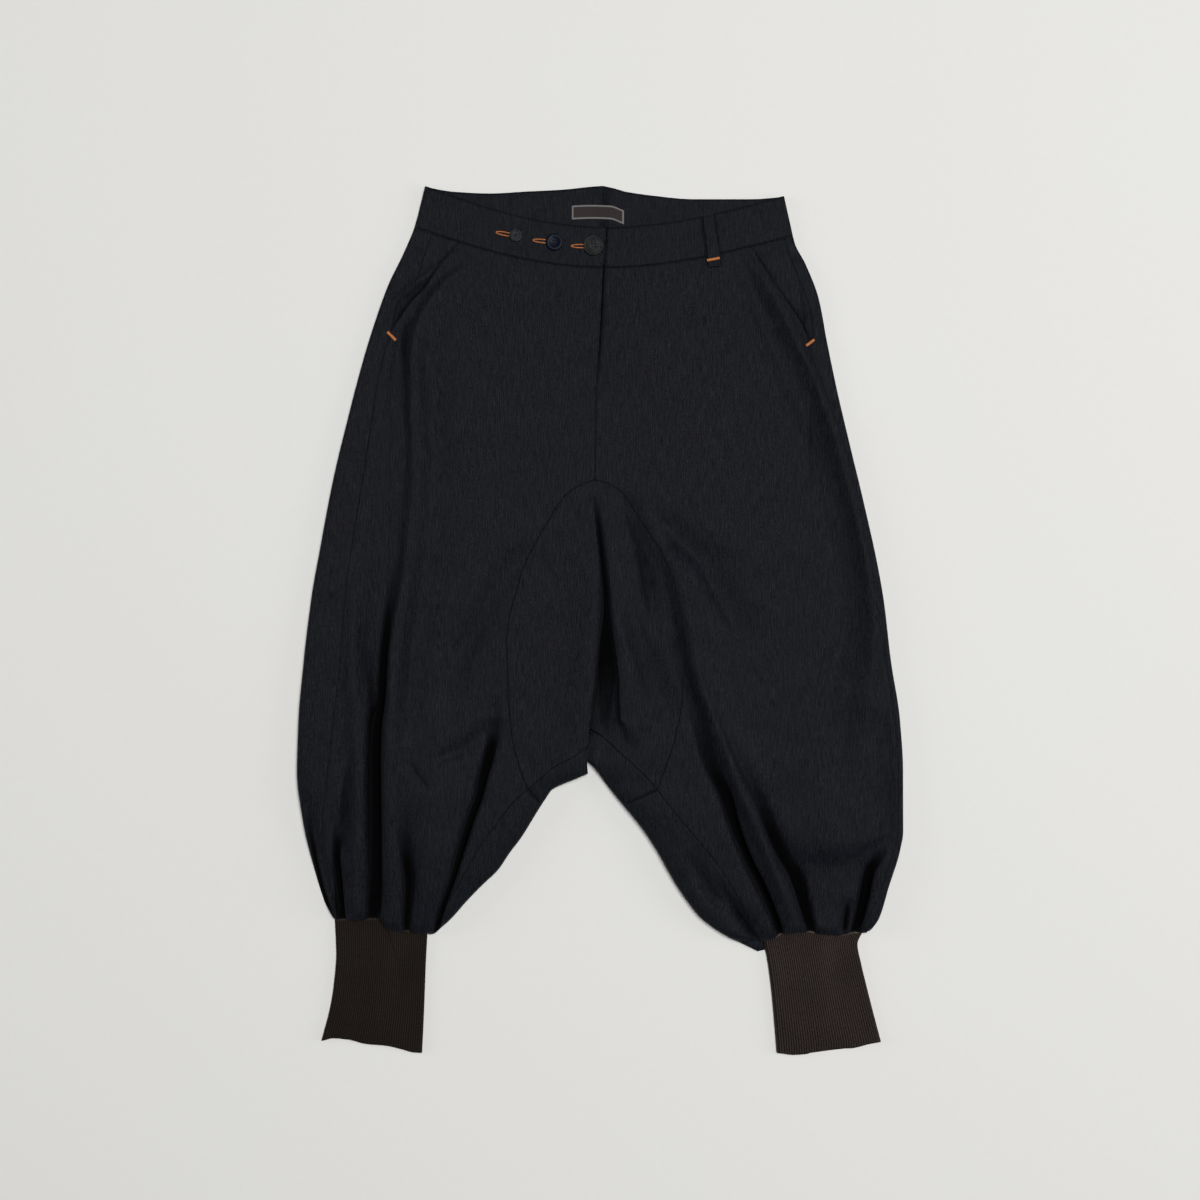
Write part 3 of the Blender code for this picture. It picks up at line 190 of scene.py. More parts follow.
# Folds that run down the cloth: name, shape, lean of its floor to the right, and rows of
# (x, y, height, width to the left, width to the right). A "round" fold is a soft roll or dip, a "sharp"
# one a crease, a "gap" a deep valley between two rolls that lean over it.
FOLDS = (
    ("left pocket fold", "round", 0, (
        (-138, 374, 0, 5, 6), (-160, 356, 3.0, 5, 8), (-178, 334, 4.6, 5, 11), (-190, 311, 5.6, 5, 14),
        (-196, 284, 6.3, 5, 16), (-197.5, 234, 6.3, 5, 18), (-194.5, 163, 6, 6, 18), (-200, 80, 7, 8, 18),
        (-207, 29, 8, 6, 18), (-213, -4, 9.1, 5, 18),
        (-217, -38, 10.1, 5, 18), (-219, -80, 10.1, 5, 18), (-222, -122, 10.1, 6, 18), (-223, -190, 8, 6, 16),
        (-222, -262, 4, 7, 12), (-220, -310, 0, 7, 10))),
    ("left hip crease", "sharp", 0, (
        (-194, 322, 0, 3, 3), (-202, 307, -2.6, 4, 3), (-205, 290, -3.4, 4, 3), (-203, 260, -3, 4, 3),
        (-203, 222, -1.6, 4, 3), (-202, 190, 0, 4, 3))),
    ("left pocket roll", "round", 0, (
        (-150, 388, 0, 4, 4), (-164, 375, 1.8, 4, 5), (-184, 359, 2.6, 4, 5), (-203, 344, 2.6, 4, 4),
        (-216, 329, 1.6, 4, 4), (-222, 312, 0, 4, 4))),
    ("left hip pucker", "sharp", 0, (
        (-213, 296, 0, 4, 4), (-217, 280, -1.8, 4, 4), (-220, 262, -1.5, 5, 5), (-222, 244, 0, 4, 4))),
    ("left pocket dip", "round", 0, (
        (-175, 336, 0, 8, 14), (-180, 289, -2.7, 9, 16), (-178, 231, -4.5, 9, 16), (-174, 178.5, -3.6, 9, 18),
        (-178, 105, -2.7, 9, 18), (-186, 40, -2.7, 8, 16), (-195, -20, -3.6, 8, 18), (-201, -90, -3.6, 8, 16),
        (-205, -130, 0, 8, 14))),
    ("left outer valley", "gap", 3.5, (
        (-206.5, 105, 0, 6, 3), (-209, 62, -1.8, 6, 3), (-215, 29, -3, 6, 3), (-220, -4, -4.8, 5.5, 3),
        (-224.5, -38, -5.9, 5, 3), (-228, -80, -9.5, 4.5, 3.5), (-234, -115, -14.3, 6, 5),
        (-235, -150, -15.4, 6, 5.5), (-234.8, -200, -16.6, 6, 5.8), (-234.5, -260, -16.6, 6.4, 6),
        (-236, -295, -15.4, 7.5, 6.5), (-238, -313, -11.9, 8, 7))),
    ("left side valley", "sharp", 0, (
        (-239, 140, 0, 6, 8), (-242, 63, -2, 6, 8), (-247, 12, -3, 6, 8), (-248.5, -21, -4, 6, 8),
        (-243, -63, -4.5, 6, 7), (-237, -95, -5, 6, 6), (-234, -125, 0, 6, 6))),
    ("left side roll", "round", 0, (
        (-256, 60, 0, 8, 8), (-258, 0, 2.5, 8, 7), (-258, -60, 3.3, 9, 8), (-253, -120, 3.2, 9, 8),
        (-252, -200, 4.2, 8, 8), (-254.5, -283.5, 4.2, 8, 7), (-254.5, -310, 2.1, 8, 7))),
    ("left seam dip", "round", 0, (
        (-262, -130, 0, 5, 5), (-264, -165, -2.9, 5, 6), (-266, -200, -4, 5, 6), (-270, -232, -4.5, 5, 6),
        (-272, -250, 0, 5, 6))),
    ("left outer gather", "gap", 2.0, (
        (-274.5, -200, 0, 4, 3), (-274.5, -241.5, -6.4, 4, 3.2), (-272.5, -273, -16, 4.5, 3.5),
        (-270.5, -299, -19.1, 4.5, 3.5), (-268.5, -316, -14.3, 4, 3.5))),
    ("left edge fold", "sharp", 0, (
        (-307, -178.5, 0, 4, 5), (-302, -220.5, -5.8, 4, 5), (-294.5, -262.5, -9.8, 4, 5),
        (-286, -299, -11.7, 4, 5), (-282, -314, -5.8, 4, 5))),
    ("left inner valley", "gap", 2.5, (
        (-109, -78, 0, 5, 5), (-110.8, -113, -4.9, 6, 6), (-116, -139, -11, 6, 5),
        (-122.5, -164, -14.8, 5.5, 4.5), (-128, -186, -16, 4.5, 4), (-134, -202, -16, 4.5, 4),
        (-142.5, -229, -16, 4.5, 3.8), (-154.5, -269, -14.8, 3.5, 3), (-166.4, -302, -12.3, 3, 3),
        (-173, -326, -7.4, 3, 3))),
    ("left middle gather", "gap", -1.5, (
        (-206.5, -160, 0, 5, 7), (-205.5, -205, -2.4, 5, 7), (-202, -240, -5.9, 5.5, 7),
        (-198, -272, -14.3, 5.5, 5.5), (-201, -308, -15.4, 4, 4), (-202, -324, -11.9, 3.5, 3.5))),
    ("left long dip", "round", 0, (
        (-74, 84, 0, 12, 14), (-95, 55, -3.4, 12, 14), (-119, 16, -5, 12, 14), (-136, -17.6, -5.6, 12, 14),
        (-148, -38, -5.4, 12, 14), (-156, -80, -3.4, 12, 14), (-160, -120, 0, 12, 14))),
    ("left low dip", "round", 0, (
        (-112, -100, 0, 9, 9), (-124, -118, -3.3, 9, 9), (-146, -136, -3.8, 9, 9), (-168, -150, 0, 9, 9))),
    ("left small crease", "sharp", 0, (
        (-199, -146, 0, 3, 3), (-194, -156, -2, 3, 3), (-184, -170, -2.2, 3, 3), (-176, -182, 0, 3, 3))),
    ("left leg roll", "round", 0, (
        (-168.5, -21, 0, 26, 24), (-172.5, -105, 2.5, 26, 24), (-174, -189, 4.2, 22, 22),
        (-180, -262.5, 4.2, 16, 18), (-188, -320, 0, 14, 14))),
    ("right inner valley", "gap", 2.0, (
        (50, 90, 0, 8, 4), (62, 63, -1.2, 9, 5), (73, 14, -2.6, 9, 6), (80.4, -23, -3.2, 9, 6),
        (88, -56, -3.6, 8, 6), (93.5, -75, -3.8, 8, 6), (101, -96, -4.2, 8, 6), (114, -145, -6.5, 8, 5),
        (131, -182, -11.5, 7, 5), (142, -218.7, -16, 6, 4), (153, -248, -17.5, 5, 4),
        (167.6, -277, -18, 5, 4), (182.4, -314, -15, 4, 4), (187, -328, -11, 4, 4))),
    ("right leg roll", "round", 0, (
        (72, 82, 0, 8, 10), (84, 40, 5.2, 10, 16), (95, -10.5, 8.4, 12, 18), (103, -59.5, 9.8, 12, 19),
        (119, -103.6, 10, 12, 19), (134, -145, 9.4, 11, 18), (150, -187, 8.8, 9, 15),
        (163.5, -219, 7.6, 8, 10), (181, -262, 6.3, 8, 8), (200, -310, 3.2, 8, 8))),
    ("right second valley", "gap", -1.5, (
        (100, 10, 0, 5, 6), (111, -60, -1.5, 5, 6), (128, -108, -3, 4.5, 6), (143, -145, -4.6, 4, 7),
        (160.8, -182, -7, 4, 8), (175.5, -219, -9.7, 4, 9), (188, -245, -13.4, 4.5, 9),
        (199, -262.5, -17.1, 5, 9), (206, -277, -18.3, 5, 7), (211, -292, -17.1, 5, 5.5),
        (216, -310, -15.8, 4.5, 4.5), (221, -328, -10.9, 4, 4))),
    ("right arch dip", "round", 0, (
        (58, 118, 0, 7, 20), (70, 99, -3.4, 8, 20), (86, 80, -5.2, 8, 22), (107, 57, -6.2, 8, 24),
        (122, 28, -6.2, 8, 24), (141, -7, -4.8, 8, 22), (151, -36, 0, 8, 20))),
    ("right gusset crease", "round", 0, (
        (24, 134, 0, 6, 10), (30, 113, -4, 6, 12), (39, 89, -6.2, 6, 13), (46, 52, -7, 6, 14),
        (53, 14, -5.6, 6, 14), (60, -18, 0, 6, 12))),
    ("right gusset dip", "round", 0, (
        (26, 34, 0, 8, 12), (34, 0, -3.6, 9, 15), (44, -38, -5.4, 9, 16), (58, -74, -4.8, 9, 15),
        (76, -112, 0, 9, 12))),
    ("right side valley", "round", 0, (
        (146, 385, 0, 7, 6), (157, 352, -4, 9, 7), (171, 320, -5.2, 11, 9), (183, 290, -5.4, 12, 11),
        (198, 255, -5.4, 13, 12), (210, 230, -5.2, 13, 12), (226, 187, -5.2, 12, 12),
        (245, 114.5, -5.2, 12, 12), (254.5, 79, -5.2, 12, 12), (262, 33.5, -5, 12, 11),
        (265, -9.5, -5, 11, 11), (259, -56.5, -4.6, 10, 10), (248, -100, -3.4, 10, 10),
        (238, -150, 0, 9, 10))),
    ("right side roll", "round", 0, (
        (165, 378, 0, 7, 8), (180, 345, 3, 7, 9), (195, 312, 3.8, 7, 9), (206, 289, 4.2, 7, 8),
        (222, 257, 4.2, 7, 7), (246, 187, 4.2, 7, 8), (266, 114.5, 4.2, 7, 8), (279, 52.5, 4.2, 7, 8),
        (286, -9.5, 4.2, 8, 8), (281, -73.5, 3, 9, 9), (270, -130, 0, 9, 9))),
    ("right hip crease", "sharp", 0, (
        (204, 352, 0, 3, 4), (209, 338, -1.8, 3, 4), (212, 322, -1.8, 3, 4), (213, 306, 0, 3, 4))),
    ("right outer gather", "gap", 2.0, (
        (296, -236, 0, 4, 4), (288, -248, -5.9, 5, 4.5), (280, -262, -13, 5.5, 5),
        (274.5, -289, -16.6, 5.5, 5), (268.5, -314, -15.4, 5, 4.5), (265, -327, -10.7, 4.5, 4))),
    ("right small gather", "sharp", 0, (
        (258, -289, 0, 4, 4), (257, -304.5, -7, 4, 4), (255, -320, -8.4, 4, 4), (254.5, -328, -4.2, 4, 4))),
    ("right inseam gather", "sharp", 0, (
        (118, -262, 0, 7, 4), (130, -284, -4.8, 8, 4), (146, -308, -9.6, 8, 4), (159, -326, -9.6, 8, 4),
        (166, -338, -4.8, 6, 4))),
    ("right strip dip", "round", 0, (
        (92, -240, 0, 7, 7), (102, -262, -3.6, 7, 7), (116, -286, -5.5, 7, 7), (128, -304, 0, 7, 7))),
    ("right leg swell", "round", 0, (
        (225, -84, 0, 22, 22), (232.5, -168, 2.6, 24, 24), (240, -225, 4.2, 24, 22), (243, -262, 1.7, 22, 20),
        (243, -300, 0, 18, 18))),
    ("right low side dip", "round", 0, (
        (262, -70, 0, 10, 10), (256, -110, -3.6, 10, 11), (247, -150, -4.2, 11, 12), (241, -190, 0, 12, 12))),
    ("right edge dip", "round", 0, (
        (292, -90, 0, 8, 8), (297, -130, -3.5, 8, 8), (299, -180, -4.5, 8, 8), (298, -228, -4.5, 8, 8),
        (290, -250, 0, 8, 8))),
    ("fly roll", "round", 0, (
        (5, 372, 0, 12, 2), (3, 350, 0.8, 14, 2), (0.5, 316, 1.4, 15, 2), (-1.5, 285, 1.4, 15, 2),
        (-3.5, 255, 1.0, 14, 2), (-4.5, 236, 0, 12, 2))),
    ("pleat edge", "round", 0, (
        (-7, 138.5, 0, 27, 1.6), (-6, 115.5, 1.3, 27, 1.6), (-4.5, 97.5, 2.6, 27, 1.6),
        (-0.5, 55.5, 4.5, 27, 1.6), (2, 21, 6.5, 27, 1.6), (-2, -18, 7.2, 27, 1.6),
        (-6, -63, 6.5, 27, 1.6), (-10.5, -102, 5.2, 27, 1.6), (-13, -131, 3.9, 27, 1.6))),
    ("pleat far roll", "round", 0, (
        (-0.5, 126, 0, 2.5, 26), (3.5, 63, 2, 2.5, 26), (7, 21, 4.5, 2.5, 26), (12, -9.5, 6.5, 2.5, 24),
        (18.5, -55.5, 6.5, 2.5, 22), (20.5, -102, 5.2, 2.5, 20), (28, -114.5, 3.9, 2.5, 16),
        (29, -130, 0, 2.5, 14))),
    ("pleat floor", "round", 0, (
        (-2, 126, 0, 3, 4), (1.5, 63, -2.6, 3, 5), (4.5, 21, -7, 5, 5), (6, -9, -9, 8, 7),
        (7, -40, -7, 14, 12), (7, -63, -6, 15, 13), (5, -100, -6, 16, 14), (3.5, -121, -5, 16, 16),
        (-0.5, -150, -2, 14, 16))),
    ("pleat floor crease", "sharp", 0, (
        (20, -50, 0, 2, 2), (12, -55.5, -0.8, 2, 2), (2, -58.5, -0.9, 2, 2), (-6, -62, 0, 2, 2))),
)
# The same, but across the leg: rows of (x, y, height, width below, width above).
CROSS_FOLDS = (
    ("right leg overhang", "round", 0, (
        (196, -250, 0, 50, 9), (209.5, -254, -4.9, 60, 10), (228.5, -257, -6.3, 60, 11),
        (252, -255, -6.3, 60, 11), (268, -249, -5.6, 50, 10), (281, -239.5, -4.2, 30, 8),
        (298.5, -226, 0, 20, 8))),
    ("right leg pull", "sharp", 0, (
        (262, -244, 0, 5, 6), (274, -236, 1.8, 5, 6), (288, -226, 2.4, 5, 6), (304, -220, 0, 5, 6))),
)
# Lines along which one edge lies on the cloth beside it: line, side that is lower (-1 left, 1 right),
# reach, rows of (y, drop).
STEPS = (
    ("centre front", 1, 28, ((460, -2), (411.5, -2.2), (369.5, -2.6), (316, -2.6), (270, -2.0), (240, 0))),
    ("centre front", 1, 5, (
        (132, 0), (118, -1.6), (60, -2.4), (21, -2.4), (-60, -1.8), (-112, -1.6), (-131, 0))),
    ("pleat far side", -1, 4, ((62, 0), (21, -2.0), (-55, -2.6), (-100, -2.4), (-114, 0))),
    ("pocket left", -1, 14, ((399, 0), (381, -1.6), (356, -3.0), (320, -3.2), (301.5, -0.6))),
    ("pocket right", 1, 14, (
        (390.5, 0), (375, -2.6), (355, -1.6), (323.5, -2.8), (304, -3.0), (287.5, -0.6))),
)
# How steeply cloth is walled in, on average of both sides, where painted shade starts to darken it, and where
# that shade is full; the distances at which the walls are looked for.
HOLLOW_FROM = 0.27
HOLLOW_TO = 0.66
HOLLOW_REACHES = (1, 2, 3, 4, 6, 8, 11, 15, 20)
OVERHANG = 1.4             # how far the rolls beside a deep valley lean over it

WAIST_DIP = 0.75           # how deep the cloth turns in at each kind of seam
SIDE_DIP = 0.40
ARCH_DIP = 0.45
INNER_DIP = 0.38
CROSS_DIP = 0.19           # at the short seam across the strip inside the inseam
SEAM_REACH = 0.62          # how far beside a seam the cloth turns in
SHADE_DEPTH = 0.95         # dip at which the painted shade beside a seam would be full, and the most it gets
SHADE_MOST = 0.62
# Sideways shift of the weave on each piece, so that no two show the same slubs.
WEAVE_SHIFT = {
    "bearer": 700, "back": 1400, "back strip": 2100, "gusset": 2800, "back gusset": 3500,
    "back gusset strip": 4200, "band": 4900}
# At the crotch the right half of the back gusset is drawn in under the left: how far, right of which x it
# fades and how fast, above which y it starts and over what length.
TUCK = 4.6
TUCK_X = -12.4
TUCK_FADE = 6
TUCK_Y = -153
TUCK_LENGTH = 9
# Painted shade on the back gusset's underside near the crotch: its x, its reach and the y of its top.
SHADE_PATCH_X = -12
SHADE_PATCH_REACH = 7
SHADE_PATCH_TOP = -100
BAND_INSIDE = 1.4          # inner face of the back waistband, seen above the front
UNDERLAP_LENGTH = 108      # button extension under the left band
UNDERLAP_HEIGHT = 4.2
BUTTON_BASE = BAND_HEIGHT + 0.5
DISC_SHARE = 0.62          # part of a button's thickness that is its disc, below the turned rings
HOLE_RING = 0.2            # distance of a button's holes from its middle, as a share of its radius
CUFF_TOP = 5.0
CUFF_EDGE = 2.4            # width over which a cuff turns over its side edge
KNIT_RIBS = 40
RIB_PITCH = 2.4
RIB_DEPTH = 0.65
# How far the upper layer of a cuff stops short of the lower one, as rows of (x, distance).
CUFF_LIFT = {
    "left": ((-300, 0), (-280, 0), (-180, 0)),
    "right": ((170, 0), (216, 0), (222, 1.2), (236, 2.4), (252, 2.2), (259, 0.6), (266, 0), (300, 0)),
}
# Soft folds of the cuffs: shape and rows of (x, y, height, width to the left, width to the right).
CUFF_FOLDS = {
    "left": (
        ("round", ((-268, -372, 0, 7, 8), (-274, -395, -0.7, 7, 10), (-279, -418, -1.2, 6, 12),
                   (-281, -438, -1.5, 5, 13), (-281, -446, -1.5, 5, 13))),
        ("round", ((-205, -365, 0, 6, 10), (-209, -385, -0.5, 8, 12), (-215, -410, -0.4, 8, 12),
                   (-220, -430, 0, 8, 12))),
        ("round", ((-184, -332, -1.4, 5, 5), (-185, -352, -1.1, 4, 5), (-186, -372, 0, 4, 5))),
    ),
    "right": (
        ("round", ((250, -340, 0, 10, 12), (262, -370, -0.5, 10, 12), (272, -410, -0.4, 10, 12),
                   (280, -440, 0, 10, 12))),
        ("sharp", ((176.5, -342, -0.6, 1.1, 1.1), (181, -362, -0.9, 1.1, 1.1), (185.5, -389, -0.9, 1.1, 1.1),
                   (190.5, -440, -0.9, 1.1, 1.1), (192, -455, -0.9, 1.1, 1.1))),
    ),
}
# Laps of a cuff's knit: the part left of the line lies lower, as rows of (x, y, drop).
CUFF_LAPS = {
    "left": (((-226, -314, -2.2), (-222.5, -325, -2.4), (-218, -339, -1.8), (-213.5, -353, -1.0),
              (-211, -362, 0)),),
    "right": (),
}

# Buttons: solid, x, y, radius, thickness, turned rings as (inset, rise), finish.
BUTTONS = (
    ("button_small", -88.7, 402.2, 6.6, 3.0, (
        (0.10, 0.10), (0.16, 0.0), (0.10, -0.18), (0.10, 0.0)), "horn resin"),
    ("button_middle", -48.2, 395.2, 9.0, 3.4, (
        (0.06, 0.14), (0.08, 0.06), (0.30, -0.06), (0.08, -0.10)), "navy resin"),
    ("button_large", -7.4, 391.7, 10.2, 3.8, (
        (0.05, 0.08), (0.12, 0.0), (0.05, -0.16), (0.06, 0.10), (0.12, 0.0), (0.04, -0.10), (0.05, 0.08),
        (0.10, 0.0), (0.04, -0.12)), "grey resin"),
)
# Buttonholes: name, outer end, end below the button, half width where they open.
BUTTONHOLES = (
    ("buttonhole_small", (-109.2, 405.8), (-89.5, 402.2), 1.7),
    ("buttonhole_middle", (-70.5, 397.6), (-49, 395.2), 1.7),
    ("buttonhole_large", (-30.6, 391.4), (-9, 391.0), 1.7),
)
# Bar tacks: name, both ends, width, lift above the cloth.
BAR_TACKS = (
    ("bar_tack_left", (-222.6, 301.2), (-214.4, 293.0), 3.2, 0.3),
    ("bar_tack_right", (215.2, 286.8), (223.6, 293.4), 3.2, 0.3),
    ("bar_tack_loop", (111.6, 376.0), (124.2, 378.4), 3.0, 2.3),
)
# Rows of stitching inside the back waistband.
INSIDE_ROWS = (
    ("inside_row_left", ((-74, 434.2), (-32, 431.6))),
    ("inside_row_right", ((26, 431.8), (72, 427.6))),
    ("inside_end_left", ((-74, 443), (-74, 422))),
    ("inside_end_right", ((72, 440), (72, 417))),
)
# Woven patch inside the back band, as rows of (x, y of its top edge).
LABEL = ((-30.0, 434.5), (-10.0, 435.3), (10.0, 434.6), (24.5, 429.5))
LABEL_DEPTH = 14.5
LABEL_LENGTH = 55.5
# Belt loop, as rows of (x, y, width, lift) down its middle line.
BELT_LOOP = (
    (112.6, 423.6, 11.0, 1.6), (113.6, 414, 11.6, 1.8), (115.4, 400, 12.0, 1.9), (117.2, 388, 12.0, 1.8),
    (118.0, 380.5, 12.4, 1.4), (118.3, 377.2, 12.8, 1.0), (118.6, 374.5, 12.2, 1.4),
    (119.2, 369.0, 11.4, 1.3))

LOOP_SHADE = (369, 424)    # the y between which painted shade falls on the cloth beside it, and its height there
LOOP_RISE = 3.0
LOOP_GROUND_TOP = 421      # above this y the ground under it is taken from here

CAMERA_PLACE = (-0.0005, 0.021, 1.75)
LENS = 50
SENSOR = 36
ROOM_LIGHT = 0.05
# White lights, all turned to the middle of the garment: name, place, size, power.
MIDDLE = (0, 0, 0.02)
LIGHTS = (
    ("overhead", (1.1, 0.85, 5.7), 2.2, 318),
    ("left fill", (-4.0, 0.6, 1.3), 1.8, 30),
    ("right fill", (4.0, -0.3, 1.3), 1.8, 38),
)

# Slack of cloth that lies loose: direction in degrees, wave length, height, phase.
SLACK = (
    (84, 71, 0.20, 0.3), (63, 47, 0.12, 2.1), (101, 58, 0.14, 4.0), (12, 118, 0.16, 1.2),
    (147, 83, 0.12, 5.1))


@functools.lru_cache(maxsize=None)
def curve_of(rows, place, value):
    """Places, values and slopes of a smooth curve with no overshoot through two columns of a table."""
    table = np.array(sorted((row[place], row[value]) for row in rows), float)
    at, to = table[:, 0], table[:, 1]
    step = np.diff(at)
    rise = np.diff(to) / step
    slope = np.zeros_like(to)
    slope[0], slope[-1] = rise[0], rise[-1]
    same = rise[:-1] * rise[1:] > 0
    before, after = rise[:-1][same], rise[1:][same]
    slope[1:-1][same] = 2 * before * after / (before + after)
    return at, to, slope, step


def smooth(at, rows, place=0, value=1):
    """Value at any place on the smooth curve through two columns of a table."""
    knots, values, slope, step = curve_of(rows, place, value)
    at = np.clip(np.asarray(at, float), knots[0], knots[-1])
    i = np.clip(np.searchsorted(knots, at) - 1, 0, len(step) - 1)
    t = (at - knots[i]) / step[i]
    return ((2 * t**3 - 3 * t**2 + 1) * values[i] + (t**3 - 2 * t**2 + t) * step[i] * slope[i]
            + (3 * t**2 - 2 * t**3) * values[i + 1] + (t**3 - t**2) * step[i] * slope[i + 1])


def line(name, y):
    """The x of a named line of the garment at a given y."""
    return smooth(y, LINES[name])


def fold_at(shape, lean_over, rows, across, along, crosswise=False):
    """What one fold adds to the cloth's height, and how far its rolls lean over its valley."""
    place, other = (0, 1) if crosswise else (1, 0)
    middle = smooth(along, rows, place, other)
    slant = smooth(along + 1, rows, place, other) - middle
    offset = (across - middle) / np.sqrt(1 + slant**2)
    reach = np.where(offset < 0, smooth(along, rows, place, 3), smooth(along, rows, place, 4))
    height = smooth(along, rows, place, 2)
    away = np.abs(offset) / reach
    if shape == "round":
        return height * np.exp(-away**2), 0 * away
    if shape == "sharp":
        return height * np.exp(0.3 - np.sqrt(away**2 + 0.09)), 0 * away
    lean = np.tanh(4 * (away - 1)) * np.exp(-2 * (away - 1) ** 2) * np.tanh(3 * away)
    depth = np.clip((-height - 2) / 9, 0, 1)
    trough = np.exp(-away**1.9)
    return height * trough, depth * (lean_over * trough - np.sign(offset) * lean * OVERHANG)


def near_fold(rows, x, y, crosswise=False):
    """Which points a fold can reach."""
    xs, ys = [row[0] for row in rows], [row[1] for row in rows]
    reach = 3.2 * max(max(row[3], row[4]) for row in rows)
    side, end = (0, reach) if crosswise else (reach, 0)
    ends_open = abs(min(rows, key=lambda row: row[1])[2]) > 0.5
    low = -1e9 if ends_open and not crosswise else min(ys) - end
    return (x > min(xs) - side) & (x < max(xs) + side) & (y < max(ys) + end) & (y > low)


def edge_room(x, y):
    """Distance from the nearest side edge of the laid-out garment."""
    left, right = x - line("outline left", y), line("outline right", y) - x
    crotch = np.clip(y - CROTCH_Y, 0, None) * 1.6
    inner = np.where(x < 0, line("edge left", y) - x, x - line("edge right", y))
    return np.clip(np.minimum(np.minimum(left, right), np.abs(inner) + crotch), 0, None)


def lay(x, y):
    """Front cloth with its folds, before the lapped edges: x and y moved by leaning rolls, and height."""
    x, y = np.broadcast_arrays(np.asarray(x, float), np.asarray(y, float))
    rise, shift = np.zeros(x.shape), np.zeros(x.shape)
    for _, shape, lean_over, rows in FOLDS:
        near = near_fold(rows, x, y)
        added, lean = fold_at(shape, lean_over, rows, x[near], y[near])
        rise[near] += added
        shift[near] += lean
    for _, shape, lean_over, rows in CROSS_FOLDS:
        near = near_fold(rows, x, y, crosswise=True)
        rise[near] += fold_at(shape, lean_over, rows, y[near], x[near], crosswise=True)[0]
    for angle, length, height, phase in SLACK:
        along = x * math.cos(math.radians(angle)) + y * math.sin(math.radians(angle))
        grown = np.clip((SLACK_FROM - y) / SLACK_GROWS, 0, 1)
        rise = rise + height * np.sin(2 * math.pi * along / length + phase) * grown
    room = np.clip(edge_room(x, y) / EDGE_REACH, 0, 1)
    bulge = smooth(y, LOFT) - FLAT_LOFT
    height = FLAT_LOFT + bulge * np.where(bulge > 0, 0.45 + 0.55 * np.sqrt(1 - (1 - room) ** 2), 1) + rise
    spare = height - LEAST_HEIGHT
    height = LEAST_HEIGHT + 0.5 * (spare + np.sqrt(spare**2 + 1.2))
    from_hem = np.where(x < 0, y - smooth(x, HEM["left"]), y - smooth(x, HEM["right"]))
    ending = np.sqrt(1 - (1 - np.clip(from_hem / HEM_REACH, 0, 1)) ** 2)
    lobe = np.clip((height - LOBE_FROM) / LOBE_SPAN, 0, 1)
    lobe = lobe * np.exp(-(np.clip(from_hem, 0, None) / LOBE_REACH) ** 2)
    height = np.where(from_hem < HEM_REACH, HEM_HEIGHT + (height - HEM_HEIGHT) * ending, height)
    height = height + LOBE_RISE * lobe
    return x + shift * np.clip(from_hem / HEM_REACH, 0, 1), y - LOBE_SAG * lobe, height


def lapped(x, y):
    """How far the cloth lies lower beside each lapped edge."""
    drop = np.zeros(np.broadcast(x, y).shape)
    for name, side, reach, rows in STEPS:
        offset = (x - line(name, y)) * side
        drop = drop + np.where(offset > 0, smooth(y, rows) * np.exp(-(offset / reach) ** 2), 0)
    return drop


def height_at(x, y):
    """Height of the cloth's upper side."""
    return lay(x, y)[2] + lapped(x, y)


def widest_gaps(sections):
    """Largest distance along Y from each section to the next."""
    return [max(abs(a - b) for a, b in zip(one, two)) for one, two in zip(sections, sections[1:])]


